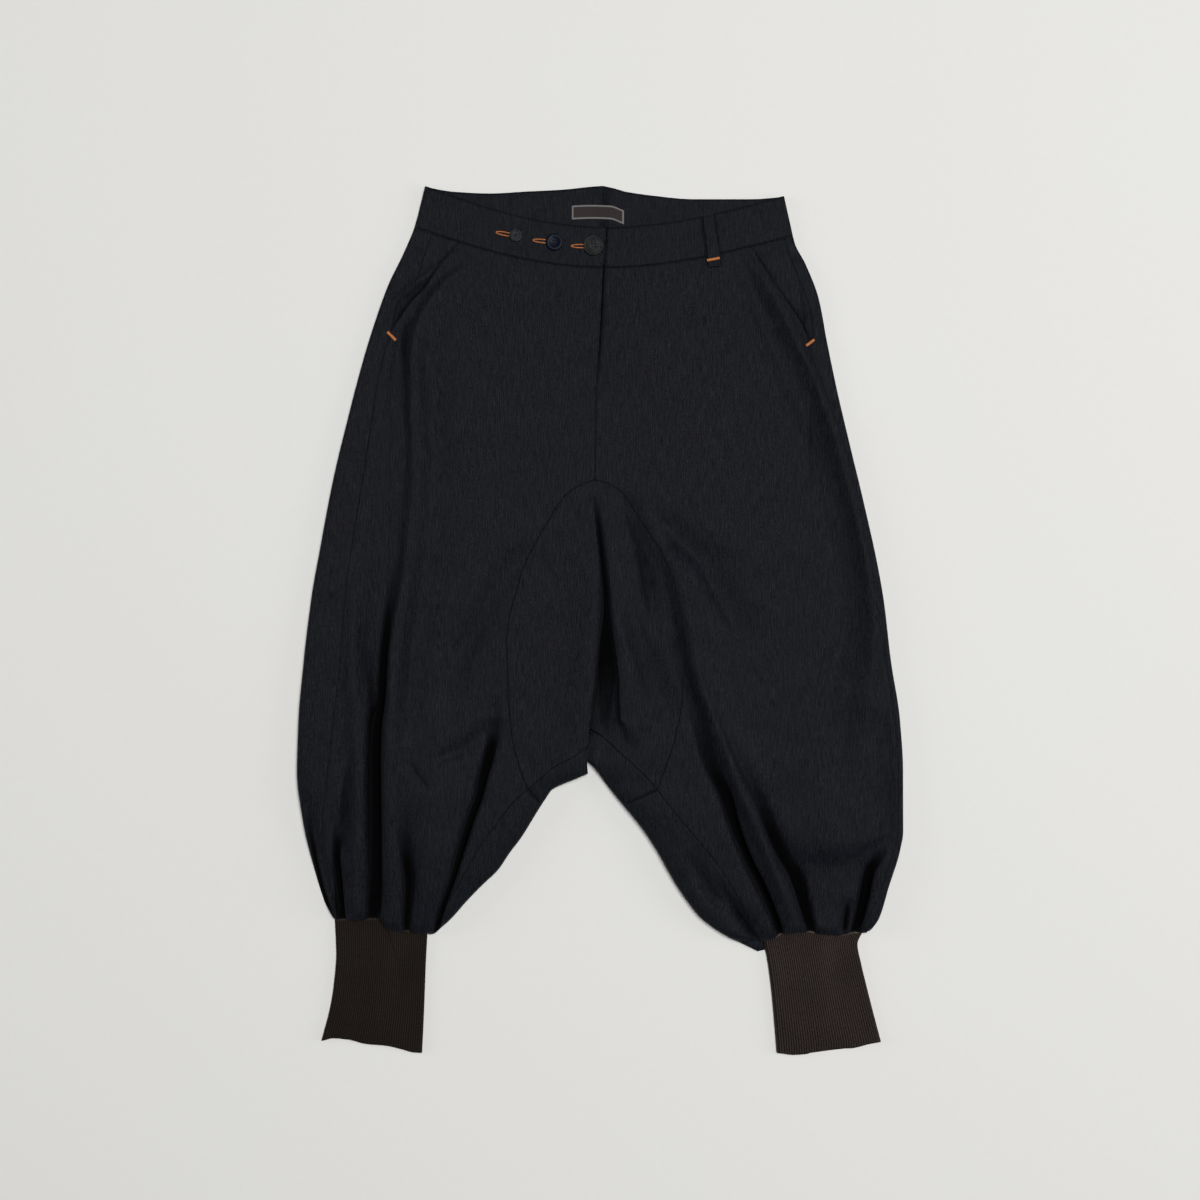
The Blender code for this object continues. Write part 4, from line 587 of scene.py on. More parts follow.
class Half:
    """Fine sections of one half of the garment, waist to hem, as arrays with an entry for each section."""

    def __init__(self, side, pace):
        self.side = side
        self.sign = -1 if side == "left" else 1
        legs = LEG_SECTIONS[side]
        body = [(row[0] if side == "left" else row[1], row[2], row[3]) for row in BODY_SECTIONS]
        body += [(row[0], row[1], row[1]) for row in legs if row[2] is None]
        legs = [row for row in legs if row[2] is not None]
        gaps = widest_gaps(BODY_SECTIONS)
        gaps += [abs(body[-1][0] - BODY_SECTIONS[-1][0])] * (len(body) - len(BODY_SECTIONS))
        body_numbers = finer(gaps, pace, (BAND_ROW,))
        leg_numbers = finer(widest_gaps(legs), pace, (), close_end=True)
        self.number = np.concatenate((body_numbers, leg_numbers + len(body)))
        self.leg = self.number >= len(body)
        self.last = len(body) + len(legs) - 1
        self.cross = len(BODY_SECTIONS) + CROSS_ROW[side]
        ys = []
        for column in range(3):
            on_body = smooth(body_numbers, tuple((i, row[column]) for i, row in enumerate(body)))
            on_leg = smooth(leg_numbers, tuple((i, row[column]) for i, row in enumerate(legs)))
            ys.append(np.concatenate((on_body, on_leg)))
        outer_y, inner_y, end_y = ys
        self.outer = np.stack((line("outline " + side, outer_y), outer_y), -1)
        inner_x = np.where(self.leg, line("inseam " + side, inner_y), line("centre front", inner_y))
        self.inner = np.stack((inner_x, inner_y), -1)
        end_x = np.where(self.leg, line("edge " + side, end_y), line("centre back", end_y))
        self.end = np.stack((end_x, end_y), -1)
        self.width = np.linalg.norm(self.inner - self.outer, axis=-1)
        self.strip = np.where(self.leg, np.linalg.norm(self.inner - self.end, axis=-1), 1)
        self.hem_share = np.clip((self.number - self.last + 2) / 2, 0, 1)
        side_room = np.where(self.number < BAND_ROW, 20, self.width * self.crossing("side seam " + side))
        self.roll = self.edge_radius(self.outer, self.inner, depth=8, room=side_room)
        inner_roll = self.edge_radius(self.end, self.inner, depth=4, room=self.strip)
        self.inner_roll = np.where(self.leg, inner_roll, 1)

    def edge_radius(self, edge, inward, depth, room):
        way = (inward - edge) / np.maximum(np.linalg.norm(inward - edge, axis=-1, keepdims=True), 1e-6)
        inside = edge + way * np.minimum(depth, 0.7 * room)[:, None]
        height = lay(inside[:, 0], inside[:, 1])[2]
        return np.minimum(np.minimum(0.5 * height, EDGE_ROLL), 0.7 * room)

    def pick(self, low, high):
        """The sections from one number to another."""
        part = object.__new__(Half)
        keep = (self.number > low - 1e-6) & (self.number < high + 1e-6)
        for key, value in self.__dict__.items():
            arrayed = isinstance(value, np.ndarray)
            setattr(part, key, value[keep] if arrayed else value)
        return part

    def front(self, share):
        """Plan of the front: share 0 at the outer edge, 1 at the centre or inseam, 2 at the inner edge."""
        share = np.asarray(share, float)
        flat = share.ndim == 1
        share = share[:, None] if flat else share
        leg = self.leg[:, None]
        ease = np.where(leg, share, np.sin(0.5 * np.pi * np.clip(share, 0, 1)))
        (x0, y0), (x1, y1), (x2, y2) = (p.T[:, :, None] for p in (self.outer, self.inner, self.end))
        x = x0 + (x1 - x0) * share
        y = y0 + (y1 - y0) * ease + self.hem_share[:, None] * self.hem_swing(share)
        beyond = leg & (share > 1)
        x = np.where(beyond, x1 + (x2 - x1) * (share - 1), x)
        y = np.where(beyond, y1 + (y2 - y1) * (share - 1), y)
        return (x[:, 0], y[:, 0]) if flat else (x, y)

    def under(self, share):
        """Plan of the underside: share as on the front, or 1 at the centre back."""
        share = np.asarray(share, float)
        flat = share.ndim == 1
        share = share[:, None] if flat else share
        leg = self.leg[:, None]
        (x0, y0), (x2, y2) = (p.T[:, :, None] for p in (self.outer, self.end))
        bend = (self.width / (self.width + self.strip))[:, None]
        part = np.where(share < 1, share * bend, bend + (share - 1) * (1 - bend))
        part = np.where(leg, part, share)
        x, y = x0 + (x2 - x0) * part, y0 + (y2 - y0) * part
        top = np.clip(1 - 0.5 * self.number, 0, 1)[:, None]
        y = y + top * (smooth(x, BACK_TOP_EDGE) - y[:1])
        return (x[:, 0], y[:, 0]) if flat else (x, y)

    def hem_swing(self, share):
        """How far the hem runs above or below a straight line from side edge to inseam."""
        ends = HEM[self.side] if self.side == "left" else HEM[self.side][::-1]
        (outer_x, outer_y), (inner_x, inner_y) = ends[0], ends[-1]
        share = np.clip(share, 0, 1)
        at = outer_x + (inner_x - outer_x) * share
        return smooth(at, HEM[self.side]) - outer_y - (inner_y - outer_y) * share

    def crossing(self, name, plan=None):
        """Shares at which a named line crosses these sections."""
        plan = plan or self.front
        start, end = plan(np.zeros(len(self.number)))[0], plan(np.ones(len(self.number)))[0]
        y = self.outer[:, 1]
        for _ in range(40):
            share = (line(name, y) - start) / (end - start)
            y = plan(share)[1]
        return share

    def inner_share(self):
        """Where the front panel ends: at the centre, along the gusset's arch, or at the inseam."""
        gusset = (self.number >= ARCH_ROW) & (self.number < self.cross)
        return np.where(gusset, self.crossing("arch " + self.side), 1.0)

    def outer_share(self):
        """Where the front panel ends: at the pocket mouth, then at the side seam."""
        pocket = self.number < TACK_ROW
        return np.where(pocket, self.crossing("pocket " + self.side), self.crossing("side seam " + self.side))

    def under_share(self):
        """Where the back panel's underside ends: centre back, the gusset's arch, or below the inseam."""
        gusset = (self.number >= ARCH_ROW) & (self.number < self.cross)
        return np.where(gusset, self.crossing("arch " + self.side, self.under), 1.0)

    def from_row(self, number):
        """Distance of these sections from one of them."""
        middle = 0.5 * (self.outer[:, 1] + self.inner[:, 1])
        at = np.interp(number, self.number, middle)
        return np.abs(middle - at)[:, None]


def finer(gaps, pace, seams, close_end=False):
    """Section numbers at an even pace, with closer ones beside seams and at a gathered end."""
    numbers = []
    for i, gap in enumerate(gaps):
        count = max(1, math.ceil(gap / pace))
        numbers += [i + k / count for k in range(count)]
    numbers.append(len(gaps))
    for seam in seams:
        for near in NEAR_SEAM[1:3]:
            numbers += [seam - near / gaps[seam - 1], seam + near / gaps[seam]]
    if close_end:
        numbers += [len(gaps) - near / gaps[-1] for near in (0.4, 1.2, 2.4, 4.2, 6.5)]
    return np.array(sorted(set(np.round(numbers, 5))))


def spread(part, start, end, count, near=NEAR_SEAM, even=False):
    """Shares from start to end, closer together at both ends and on steep cloth, with their distances."""
    length = np.abs(end - start) * part.width
    if np.all((start >= 1) & (end >= 1)):
        length = np.abs(end - start) * part.strip
    length = np.maximum(length, 1e-6)
    near = np.array(near)[None]
    first = near * np.minimum(1, 0.25 * length / near[0, -1])[:, None]
    low, high = first[:, -1:], length[:, None] - first[:, -1:]
    along = np.linspace(0, 1, count + 1)[None] * np.ones((len(length), 1))
    if not even:
        tight = np.linspace(0, 1, STEEP_PLACES)[None]
        shares = start[:, None] + (end - start)[:, None] * (low + (high - low) * tight) / length[:, None]
        rise = np.abs(np.diff(height_at(*part.front(shares)), axis=1))
        for _ in range(3):
            rise[1:-1] = 0.25 * rise[:-2] + 0.5 * rise[1:-1] + 0.25 * rise[2:]
            rise[:, 1:-1] = 0.25 * rise[:, :-2] + 0.5 * rise[:, 1:-1] + 0.25 * rise[:, 2:]
        weight = np.cumsum(length[:, None] / (STEEP_PLACES - 1) + STEEP_PULL * rise, 1)
        weight = np.concatenate((0 * weight[:, :1], weight), 1) / weight[:, -1:]
        for row, grown in enumerate(weight):
            along[row] = np.interp(along[row], grown, tight[0])
    middle = low + (high - low) * along[:, 1:-1]
    distance = np.concatenate((first, middle, length[:, None] - first[:, ::-1]), 1)
    shares = start[:, None] + (end - start)[:, None] * distance / length[:, None]
    return shares, distance, length[:, None] - distance


def dip(*seams):
    """How far cloth turns down into the seams beside it, as pairs of distance and depth."""
    deep = 0
    for distance, depth in seams:
        deep = np.maximum(deep, depth * np.exp(-(np.abs(distance) / SEAM_REACH) ** 1.5))
    return deep


def grid(x, y, z):
    return np.stack(np.broadcast_arrays(x, y, z), -1)


def laid(part, shares, sunk=0.0):
    """Points of the upper side at shares of each section, sunk by a seam's dip."""
    x, y = part.front(shares)
    moved_x, moved_y, z = lay(x, y)
    return grid(moved_x, moved_y, z + lapped(x, y) - sunk)


def turned(part, angles, inner=False):
    """Points round a side edge, from the upper side (90 degrees) to the underside (-90)."""
    radius = part.inner_roll if inner else part.roll
    length = part.strip if inner else part.width
    edge, way = (2.0, -1) if inner else (0.0, 1)
    angles = np.radians(np.asarray(angles, float))[None]
    top_x, top_y = part.front(edge + way * radius / length)
    half = 0.5 * (lay(top_x, top_y)[2] + lapped(top_x, top_y))[:, None]
    share = edge + way * (radius / length)[:, None] * (1 - np.cos(angles))
    front_x, front_y = part.front(share)
    under_x, under_y = part.under(share)
    upper = angles >= 0
    x, y = np.where(upper, front_x, under_x), np.where(upper, front_y, under_y)
    return grid(x, y, half + half * np.sin(angles))


def below(part, shares):
    """Points of the flat underside."""
    x, y = part.under(shares)
    return grid(x, y, 0.0)


def ramp(start, end, count):
    """Even shares from start to end for each section."""
    return start[:, None] + (end - start)[:, None] * np.linspace(0, 1, count + 1)[None]


@functools.lru_cache(maxsize=1)
def hollow_map():
    """How enclosed each place of the front is by the cloth beside it, on an even grid: 0 open, 1 shut in; it
    sets painted shade.
    """
    x, y = np.arange(-330, 331, 1.0), np.arange(-348, 462, 1.5)
    across, along = np.meshgrid(x, y)
    height = height_at(across, along)
    # The belt loop stands here as a rise only, so that painted shade falls on the band beside it.
    loop = tuple((row[1], row[0], row[2]) for row in BELT_LOOP)
    beside = np.abs(across - smooth(along, loop)) - 0.5 * smooth(along, loop, 0, 2)
    on_loop = (beside < 0) & (along < LOOP_SHADE[1]) & (along > LOOP_SHADE[0])
    height = height + np.where(on_loop, LOOP_RISE, 0)
    # Painted shadow on the lower cloth beside each lapped edge: fly, pleat side and pocket mouths.
    painted_edge_shadow = np.zeros(height.shape)
    for name, side, _, rows in STEPS:
        offset = (across - line(name, along)) * side
        drop = smooth(along, rows) / min(row[1] for row in rows)
        within = (offset > -0.3) & (along > rows[-1][0]) & (along < rows[0][0])
        painted_edge_shadow = np.maximum(painted_edge_shadow, np.where(within, drop * np.clip(1.5 - offset / 1.9, 0, 1), 0))
    walls = []
    for way in (-1, 1):
        steep = np.zeros(height.shape)
        for reach in HOLLOW_REACHES:
            steep = np.maximum(steep, (np.roll(height, way * reach, 1) - height) / reach)
        walls.append(steep / np.sqrt(1 + steep**2))
    shut = 0.5 * (walls[0] + walls[1])
    shut[1:-1] = 0.25 * (shut[:-2] + 2 * shut[1:-1] + shut[2:])
    return x, y, np.maximum(np.clip((shut - HOLLOW_FROM) / (HOLLOW_TO - HOLLOW_FROM), 0, 1), painted_edge_shadow)


def hollow_at(x, y):
    """The hollow map read between its grid's places."""
    xs, ys, shut = hollow_map()
    across = np.clip((x - xs[0]) / (xs[1] - xs[0]), 0, len(xs) - 1.001)
    along = np.clip((y - ys[0]) / (ys[1] - ys[0]), 0, len(ys) - 1.001)
    i, j = along.astype(int), across.astype(int)
    u, v = along - i, across - j
    return ((1 - u) * ((1 - v) * shut[i, j] + v * shut[i, j + 1])
            + u * ((1 - v) * shut[i + 1, j] + v * shut[i + 1, j + 1]))


def seam_shade(sunk):
    """How much painted shade the cloth gets where it turns down into a seam."""
    return np.clip(sunk / SHADE_DEPTH, 0, SHADE_MOST)


def grain_of(part, columns, piece, sunk=None):
    """Cloth coordinates in metres over an edge, with the thread upright, and how hollow the place is, for
    painted shade.
    """
    x, y, z = columns[..., 0], columns[..., 1], columns[..., 2]
    hollow = np.where(z > 2, hollow_at(x, y), 0)
    if sunk is not None:
        strip = hollow[:, -sunk.shape[1]:]
        strip[:] = np.maximum(strip, seam_shade(sunk))
    return np.stack(((x + part.sign * z + WEAVE_SHIFT[piece]) * MM, y * MM, hollow), -1)


def grain_at(part, shares, sunk, piece=None):
    """Cloth coordinates in metres on the front, with the thread upright, and how hollow the place is, for
    painted shade.
    """
    x, y = part.front(shares)
    hollow = np.maximum(hollow_at(x, y), seam_shade(sunk))
    return np.stack(((x + WEAVE_SHIFT.get(piece, 0.0)) * MM, y * MM, hollow), -1)


ROLL = np.linspace(78, -78, 7)


def front_panel(part, columns):
    """Front of one leg, from the centre, the gusset's arch or the inseam out to the pocket and side seam."""
    start, end = part.inner_share(), part.outer_share()
    shares, from_inner, from_outer = spread(part, start, end, columns)
    sunk = dip((from_inner, INNER_DIP), (from_outer, SIDE_DIP), (part.from_row(BAND_ROW), WAIST_DIP))
    points = laid(part, shares, sunk)
    return [(points, grain_at(part, shares, sunk))]


def side_panel(part):
    """Piece of the hip between the pocket mouth and the side seam."""
    start, end = part.outer_share(), part.crossing("side seam " + part.side)
    shares, _, from_seam = spread(part, start, end, 20, even=True)
    sunk = dip((from_seam, SIDE_DIP), (part.from_row(BAND_ROW), WAIST_DIP))
    return [(laid(part, shares, sunk), grain_at(part, shares, sunk, "bearer"))]


def back_panel(part):
    """Back of one leg: turned strip on the front, side edge, underside, and the strip at the inseam."""
    start = part.roll / part.width
    seam = part.crossing("side seam " + part.side)
    shares, from_seam, _ = spread(part, seam, start, 16)
    strip = laid(part, shares, dip((from_seam, SIDE_DIP), (part.from_row(BAND_ROW), WAIST_DIP)))
    under = below(part, ramp(start, part.under_share(), 12))
    main = np.concatenate((strip, turned(part, ROLL), under), 1)
    leg = part.pick(part.cross, part.last)
    finish = 2 - leg.inner_roll / leg.strip
    base = below(leg, ramp(np.ones(len(finish)), finish, 4))
    base[:, 0] = main[part.number >= part.cross - 1e-6, -1]
    shares, _, from_seam = spread(leg, finish, np.ones(len(finish)), 16)
    sunk = dip((from_seam, INNER_DIP), (leg.from_row(leg.cross), CROSS_DIP))
    wrap = np.concatenate((base, turned(leg, ROLL[::-1], True), laid(leg, shares, sunk)), 1)
    return [(main, grain_of(part, main, "back")), (wrap, grain_of(leg, wrap, "back strip", sunk))]


def gusset_front(left, right):
    """Arched gusset with its centre pleat, from the centre out to the arch on each side."""
    patches = []
    for half in (left, right):
        part = half.pick(ARCH_ROW - 1, half.cross)
        ones = np.ones(len(part.number))
        end = np.where(part.number > part.cross - 1e-6, 1.0, part.inner_share())
        if half.side == "left":
            shares, from_inner, from_arch = spread(part, ones, end, 60)
        else:
            shares, from_inner, from_arch = spread(part, ones, end, 64, (0.04, 0.4, 0.8, 1.2, 1.7, 2.4, 3.4))
        from_inner = np.where(part.leg[:, None], from_inner, 9)
        sunk = dip((from_arch, ARCH_DIP), (from_inner, INNER_DIP), (part.from_row(ARCH_ROW), ARCH_DIP))
        points = laid(part, shares, sunk)
        patches.append((points, grain_at(part, shares, sunk, "gusset")))
    shared = ~left.pick(ARCH_ROW - 1, left.cross).leg
    count = min(shared.sum(), (~right.pick(ARCH_ROW - 1, right.cross).leg).sum())
    patches[1][0][:count, 0] = patches[0][0][:count, 0]
    return patches


def gusset_back(part):
    """Half of the back gusset: underside below the arch, turned over the crotch edge up to the inseam."""
    part = part.pick(ARCH_ROW, part.cross)
    last = part.number > part.cross - 1e-6
    start = np.where(last, 1.0, part.crossing("arch " + part.side, part.under))
    finish = np.where(part.leg, 2 - part.inner_roll / part.strip, 1.0)
    under = below(part, ramp(start, finish, 10))
    leg = part.pick(len(BODY_SECTIONS) + (part.side == "left"), part.cross)
    finish = 2 - leg.inner_roll / leg.strip
    shares, _, from_seam = spread(leg, finish, np.ones(len(finish)), 18)
    sunk = dip((from_seam, INNER_DIP), (leg.from_row(leg.cross), CROSS_DIP))
    strip = laid(leg, shares, sunk)
    turn = turned(leg, ROLL[::-1], True)
    if part.side == "right":
        tuck = np.clip((strip[..., 1] - TUCK_Y) / TUCK_LENGTH, 0, 1)
        strip[..., 0] -= TUCK * (np.exp(-np.clip(strip[..., 0] - TUCK_X, 0, None) / TUCK_FADE) * tuck)
        tuck = np.clip((turn[..., 1] - TUCK_Y) / TUCK_LENGTH, 0, 1)
        turn[..., 0] -= TUCK * tuck * np.linspace(0.2, 1, turn.shape[1])
    wrap = np.concatenate((under[part.leg, -1:], turn, strip), 1)
    weave = grain_of(part, under, "back gusset")
    # Painted shade: a dark patch on the underside near the centre back, below the given top.
    deep = np.exp(-((under[..., 0] - SHADE_PATCH_X) / SHADE_PATCH_REACH) ** 2)
    weave[..., 2] = deep * (under[..., 1] < SHADE_PATCH_TOP)
    return [(under, weave), (wrap, grain_of(leg, wrap, "back gusset strip", sunk))]


def waistband(part):
    """Half of the shaped waistband, from the front overlap round the side to the centre back."""
    start = part.roll / part.width
    ones = np.ones(len(start))
    shares, _, _ = spread(part, ones, start, 170, even=True)
    seam = dip((part.from_row(BAND_ROW), WAIST_DIP))
    top = laid(part, shares, seam)
    under = below(part, ramp(start, ones, 16))
    points = np.concatenate((top, turned(part, ROLL), under), 1)
    return [(points, grain_of(part, points, "band"))]


def underlap(left, band):
    """Button extension of the right band, lying under the left band as far as the first button."""
    far = 1 - UNDERLAP_LENGTH / left.width
    shares = ramp(far, np.ones(len(far)), 16)
    x, y = left.front(shares)
    points = grid(x, y - 1.2 + 1.2 * left.number[:, None], UNDERLAP_HEIGHT)
    points[:, -1] = band[:, 0]
    return points, points[..., :2] * MM


def loop_points():
    """Outer points of the belt loop, rows across it down its length."""
    rows = tuple((number, *row) for number, row in enumerate(BELT_LOOP))
    at = np.linspace(0, len(rows) - 1, 70)
    x, y, width, lift = (smooth(at, rows, 0, column) for column in (1, 2, 3, 4))
    way = np.stack((np.gradient(x), np.gradient(y)), -1)
    way /= np.linalg.norm(way, axis=-1, keepdims=True)
    across = np.array((0.5, 0.5, 0.49, 0.45, 0.38, 0.3, 0.2, 0.1))
    across = np.concatenate((-across, (0,), across[::-1]))
    fall = np.array((0, 0.5, 0.82, 1.0, 1.02, 0.95, 0.9, 0.88))
    fall = np.concatenate((fall, (0.87,), fall[::-1]))
    spots_x = x[:, None] - way[:, 1:] * across[None] * width[:, None]
    spots_y = y[:, None] + way[:, :1] * across[None] * width[:, None]
    ground = height_at(spots_x, np.minimum(spots_y, LOOP_GROUND_TOP))
    end = np.clip(np.minimum(at, len(rows) - 1 - at)[:, None] / 0.25, 0, 1)
    z = ground + 0.25 + (0.5 + lift[:, None]) * fall[None] * (0.55 + 0.45 * np.sqrt(end * (2 - end)))
    return grid(spots_x, spots_y, z)


def make_surface(name, patches):
    """A smooth surface from grids of points that share their common edges, with its cloth coordinates."""
    points, faces, grain = [], [], []
    count = 0
    for corners, weave, flip in patches:
        rows, columns = corners.shape[:2]
        index = count + np.arange(rows * columns).reshape(rows, columns)
        count += rows * columns
        quads = np.stack((index[:-1, :-1], index[:-1, 1:], index[1:, 1:], index[1:, :-1]), -1).reshape(-1, 4)
        faces.append(quads[:, ::-1] if flip else quads)
        points.append(corners.reshape(-1, 3))
        open_cloth = np.zeros((*weave.shape[:2], 1))
        weave = weave if weave.shape[-1] == 3 else np.concatenate((weave, open_cloth), -1)
        grain.append(weave.reshape(-1, 3))
    points, faces, grain = np.concatenate(points) * MM, np.concatenate(faces), np.concatenate(grain)
    data = bpy.data.meshes.new(name)
    data.from_pydata(points, [], faces.tolist())
    corners = grain[faces.reshape(-1)]
    layer = data.uv_layers.new(name="grain")
    layer.data.foreach_set("uv", corners[:, :2].reshape(-1))
    # The second layer carries the hollow map, which paints shade into the cloth's colour.
    layer = data.uv_layers.new(name="hollow")
    layer.data.foreach_set("uv", corners[:, [2, 2]].reshape(-1))
    mesh = bmesh.new()
    mesh.from_mesh(data)
    bmesh.ops.remove_doubles(mesh, verts=mesh.verts, dist=0.004 * MM)
    mesh.to_mesh(data)
    mesh.free()
    thing = bpy.data.objects.new(name, data)
    bpy.context.scene.collection.objects.link(thing)
    return thing


def apply_modifier(thing, kind, **settings):
    """Add a modifier, set it and apply it."""
    modifier = thing.modifiers.new(kind.lower(), kind)
    for key, value in settings.items():
        setattr(modifier, key, value)
    only(thing)
    bpy.ops.object.modifier_apply(modifier=modifier.name)


def only(thing):
    """Make one object the selected and active one."""
    bpy.ops.object.select_all(action="DESELECT")
    thing.select_set(True)
    bpy.context.view_layer.objects.active = thing


def cloth_piece(name, patches, wall, finish, nodes):
    """One cut piece: its wall turned inwards from the outer surface, in place of its solid."""
    thing = make_surface(name, patches)
    apply_modifier(thing, "SOLIDIFY", thickness=wall, offset=-1, use_even_offset=False, use_rim=True)
    finished(thing, finish, nodes)
    return thing


def finished(thing, finish, nodes=()):
    """Give a piece its finish and let it ride with the garment."""
    thing.data.materials.clear()
    thing.data.materials.append(material(finish))
    thing.data.shade_smooth()
    for node in nodes:
        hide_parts(node)
    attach(thing, "root")
    return thing


def tagged(patches, flip):
    return [(points, grain, flip) for points, grain in patches]


# ---------------------------------------------------------------------------------------------- cuffs

def cuff_patch(side, half):
    """Rib knit tube, laid flat, from the seam under the leg down to its open end."""
    left_side, right_side = CUFF_SIDES[side]
    x_hem, y_hem = half.front(np.linspace(0, 1, 200)[None] * np.ones((len(half.number), 1)))
    x_hem, y_hem = x_hem[-1], y_hem[-1]
    order = np.argsort(x_hem)
    x_hem, y_hem = x_hem[order], y_hem[order]
    x_low, x_high = x_hem[0], x_hem[-1]

    def spot(share, down, below):
        share, down = np.broadcast_arrays(share, down)
        x = x_low + (x_high - x_low) * share
        for _ in range(12):
            top = np.interp(x, x_hem, y_hem)
            if below:
                top = y_hem[0] + (y_hem[-1] - y_hem[0]) * share
            end = smooth(x, CUFF_END[side])
            if not below:
                end = end + smooth(x, CUFF_LIFT[side])
            y = top - 0.25 + (end - top + 0.25) * down
            low, high = smooth(y, left_side), smooth(y, right_side)
            x = low + (high - low) * share
        return x, y

    down = np.concatenate(((0, 0.006, 0.014), np.linspace(0.03, 0.97, 44), (0.985, 0.994, 1)))[:, None]
    wide = spot(1.0, 0.5, False)[0] - spot(0.0, 0.5, False)[0]
    margin = CUFF_EDGE / wide
    across = np.linspace(0, 1, KNIT_RIBS * 8 + 1)[None]
    x, y = spot(margin + (1 - 2 * margin) * across, down, False)
    rib = np.abs(np.sin(math.pi * KNIT_RIBS * across)) ** 0.8
    soft = np.sin(across * 23 + 3 * down) * 0.12 + np.sin(down * 7 + across * 11) * 0.1
    z = CUFF_TOP - RIB_DEPTH * (1 - rib) + soft + cuff_folds(side, x, y)
    z = z + 0.5 * np.exp(-(down / 0.012) ** 2) - 0.35 * np.exp(-((1 - down) / 0.012) ** 2)
    top = grid(x, y, z)
    turns = np.radians(np.linspace(60, -60, 5))[None]
    half_height = CUFF_TOP / 2 - 0.1
    parts = [top]
    for edge, way in ((1, 1), (0, -1)):
        share = (edge - way * margin * (1 - np.cos(turns)))[:, ::way]
        turned_way = turns[:, ::way]
        upper = turned_way > 0
        front_x, front_y = spot(share, down, False)
        back_x, back_y = spot(share, down, True)
        ribs = 0.25 * np.cos(turned_way * 6)
        arc = grid(np.where(upper, front_x, back_x) + way * ribs * 0.3, np.where(upper, front_y, back_y),
                   half_height + half_height * np.sin(turned_way))
        if edge:
            under = np.linspace(1 - margin, margin, 41)[None]
            under_x, under_y = spot(under, down, True)
            parts += [arc, grid(under_x, under_y, 0.0)]
        else:
            parts += [arc, top[:, :1]]
    points = np.concatenate(parts, 1)
    length = np.linalg.norm(np.diff(points[:1, top.shape[1] - 1:], axis=1), axis=-1)
    ribbed = across[0] * KNIT_RIBS * RIB_PITCH
    along = np.concatenate((ribbed, ribbed[-1] + np.cumsum(length[0]))) * MM
    deep = -down * 0.12
    grain = np.stack(np.broadcast_arrays(along[None], deep), -1)
    return points, grain


def cuff_folds(side, x, y):
    """Soft folds of a cuff as it lies."""
    rise = np.zeros(np.broadcast(x, y).shape)
    for shape, rows in CUFF_FOLDS[side]:
        added, _ = fold_at(shape, 0, rows, x, y)
        ends = np.array([row[1] for row in rows])
        past = np.clip(np.maximum(y - ends.max(), ends.min() - y), 0, None)
        rise = rise + added * np.exp(-(past / 3) ** 2)
    for rows in CUFF_LAPS[side]:
        offset = x - smooth(y, rows, 1, 0)
        rise = rise + np.where(offset < 0, smooth(y, rows, 1, 2) * np.exp(-(offset / 7) ** 2), 0)
    return rise


# ----------------------------------------------------------------------------------- threads, buttons

def thread_model():
    """One raised stitch, a millimetre long, lying along X at the middle."""
    bpy.ops.object.select_all(action="DESELECT")
    bpy.ops.mesh.primitive_uv_sphere_add(segments=6, ring_count=5, radius=0.5 * MM, location=(0, 0, 0))
    thing = bpy.context.object
    bpy.ops.object.mode_set(mode="EDIT")
    bpy.ops.mesh.select_all(action="SELECT")
    bpy.ops.transform.rotate(value=math.pi / 2, orient_axis="Y", center_override=(0, 0, 0))
    bpy.ops.object.mode_set(mode="OBJECT")
    data = thing.data
    bpy.data.objects.remove(thing)
    return data


def sewn(name, stitches, finish):
    """Copies of one stitch: rows of x, y, z, turn in radians, rise in radians, length, width, height."""
    model = thread_model()
    mesh = bmesh.new()
    for x, y, z, turn, rise, length, width, height in stitches:
        single = bmesh.new()
        single.from_mesh(model)
        place = Matrix.Translation((x * MM, y * MM, z * MM)) @ Matrix.Rotation(turn, 4, "Z")
        place = place @ Matrix.Rotation(-rise, 4, "Y") @ Matrix.Diagonal((length, width, height, 1))
        bmesh.ops.transform(single, matrix=place, verts=single.verts)
        data = bpy.data.meshes.new("stitch")
        single.to_mesh(data)
        single.free()
        mesh.from_mesh(data)
        bpy.data.meshes.remove(data)
    data = bpy.data.meshes.new(name)
    mesh.to_mesh(data)
    mesh.free()
    bpy.data.meshes.remove(model)
    thing = bpy.data.objects.new(name, data)
    bpy.context.scene.collection.objects.link(thing)
    return finished(thing, finish)


def walk(path, start, gap, ahead):
    """Spots at an even gap along a path of (x, y) corners, and the angle of the path a little ahead."""
    path = np.array(path, float)
    at = np.concatenate(((0,), np.cumsum(np.linalg.norm(np.diff(path, axis=0), axis=1))))
    places = np.arange(start, at[-1], gap)
    (x, y), (x2, y2) = ([np.interp(spots, at, side) for side in path.T] for spots in (places, places + ahead))
    return zip(x, y, np.arctan2(y2 - y, x2 - x))


def row_of_stitches(path, gap, length, width, height, z):
    """Running stitches at one height along a path."""
    return [(x, y, z, turn, 0.0, length, width, height) for x, y, turn in walk(path, gap / 2, gap, 0.5)]


def satin(start, end, count, length, width, height, lift):
    """Close threads side by side, from one end of a bar to the other."""
    start, end = np.array(start, float), np.array(end, float)
    way = math.atan2(*(end - start)[::-1])
    stitches = []
    for number in range(count):
        x, y = start + (end - start) * number / (count - 1)
        wobble = 0.10 * math.sin(number * 2.4)
        z = float(height_at(x, y)) + lift
        stitches.append((x, y, z, way + math.pi / 2 + wobble, 0.0, length, width, height))
    return stitches


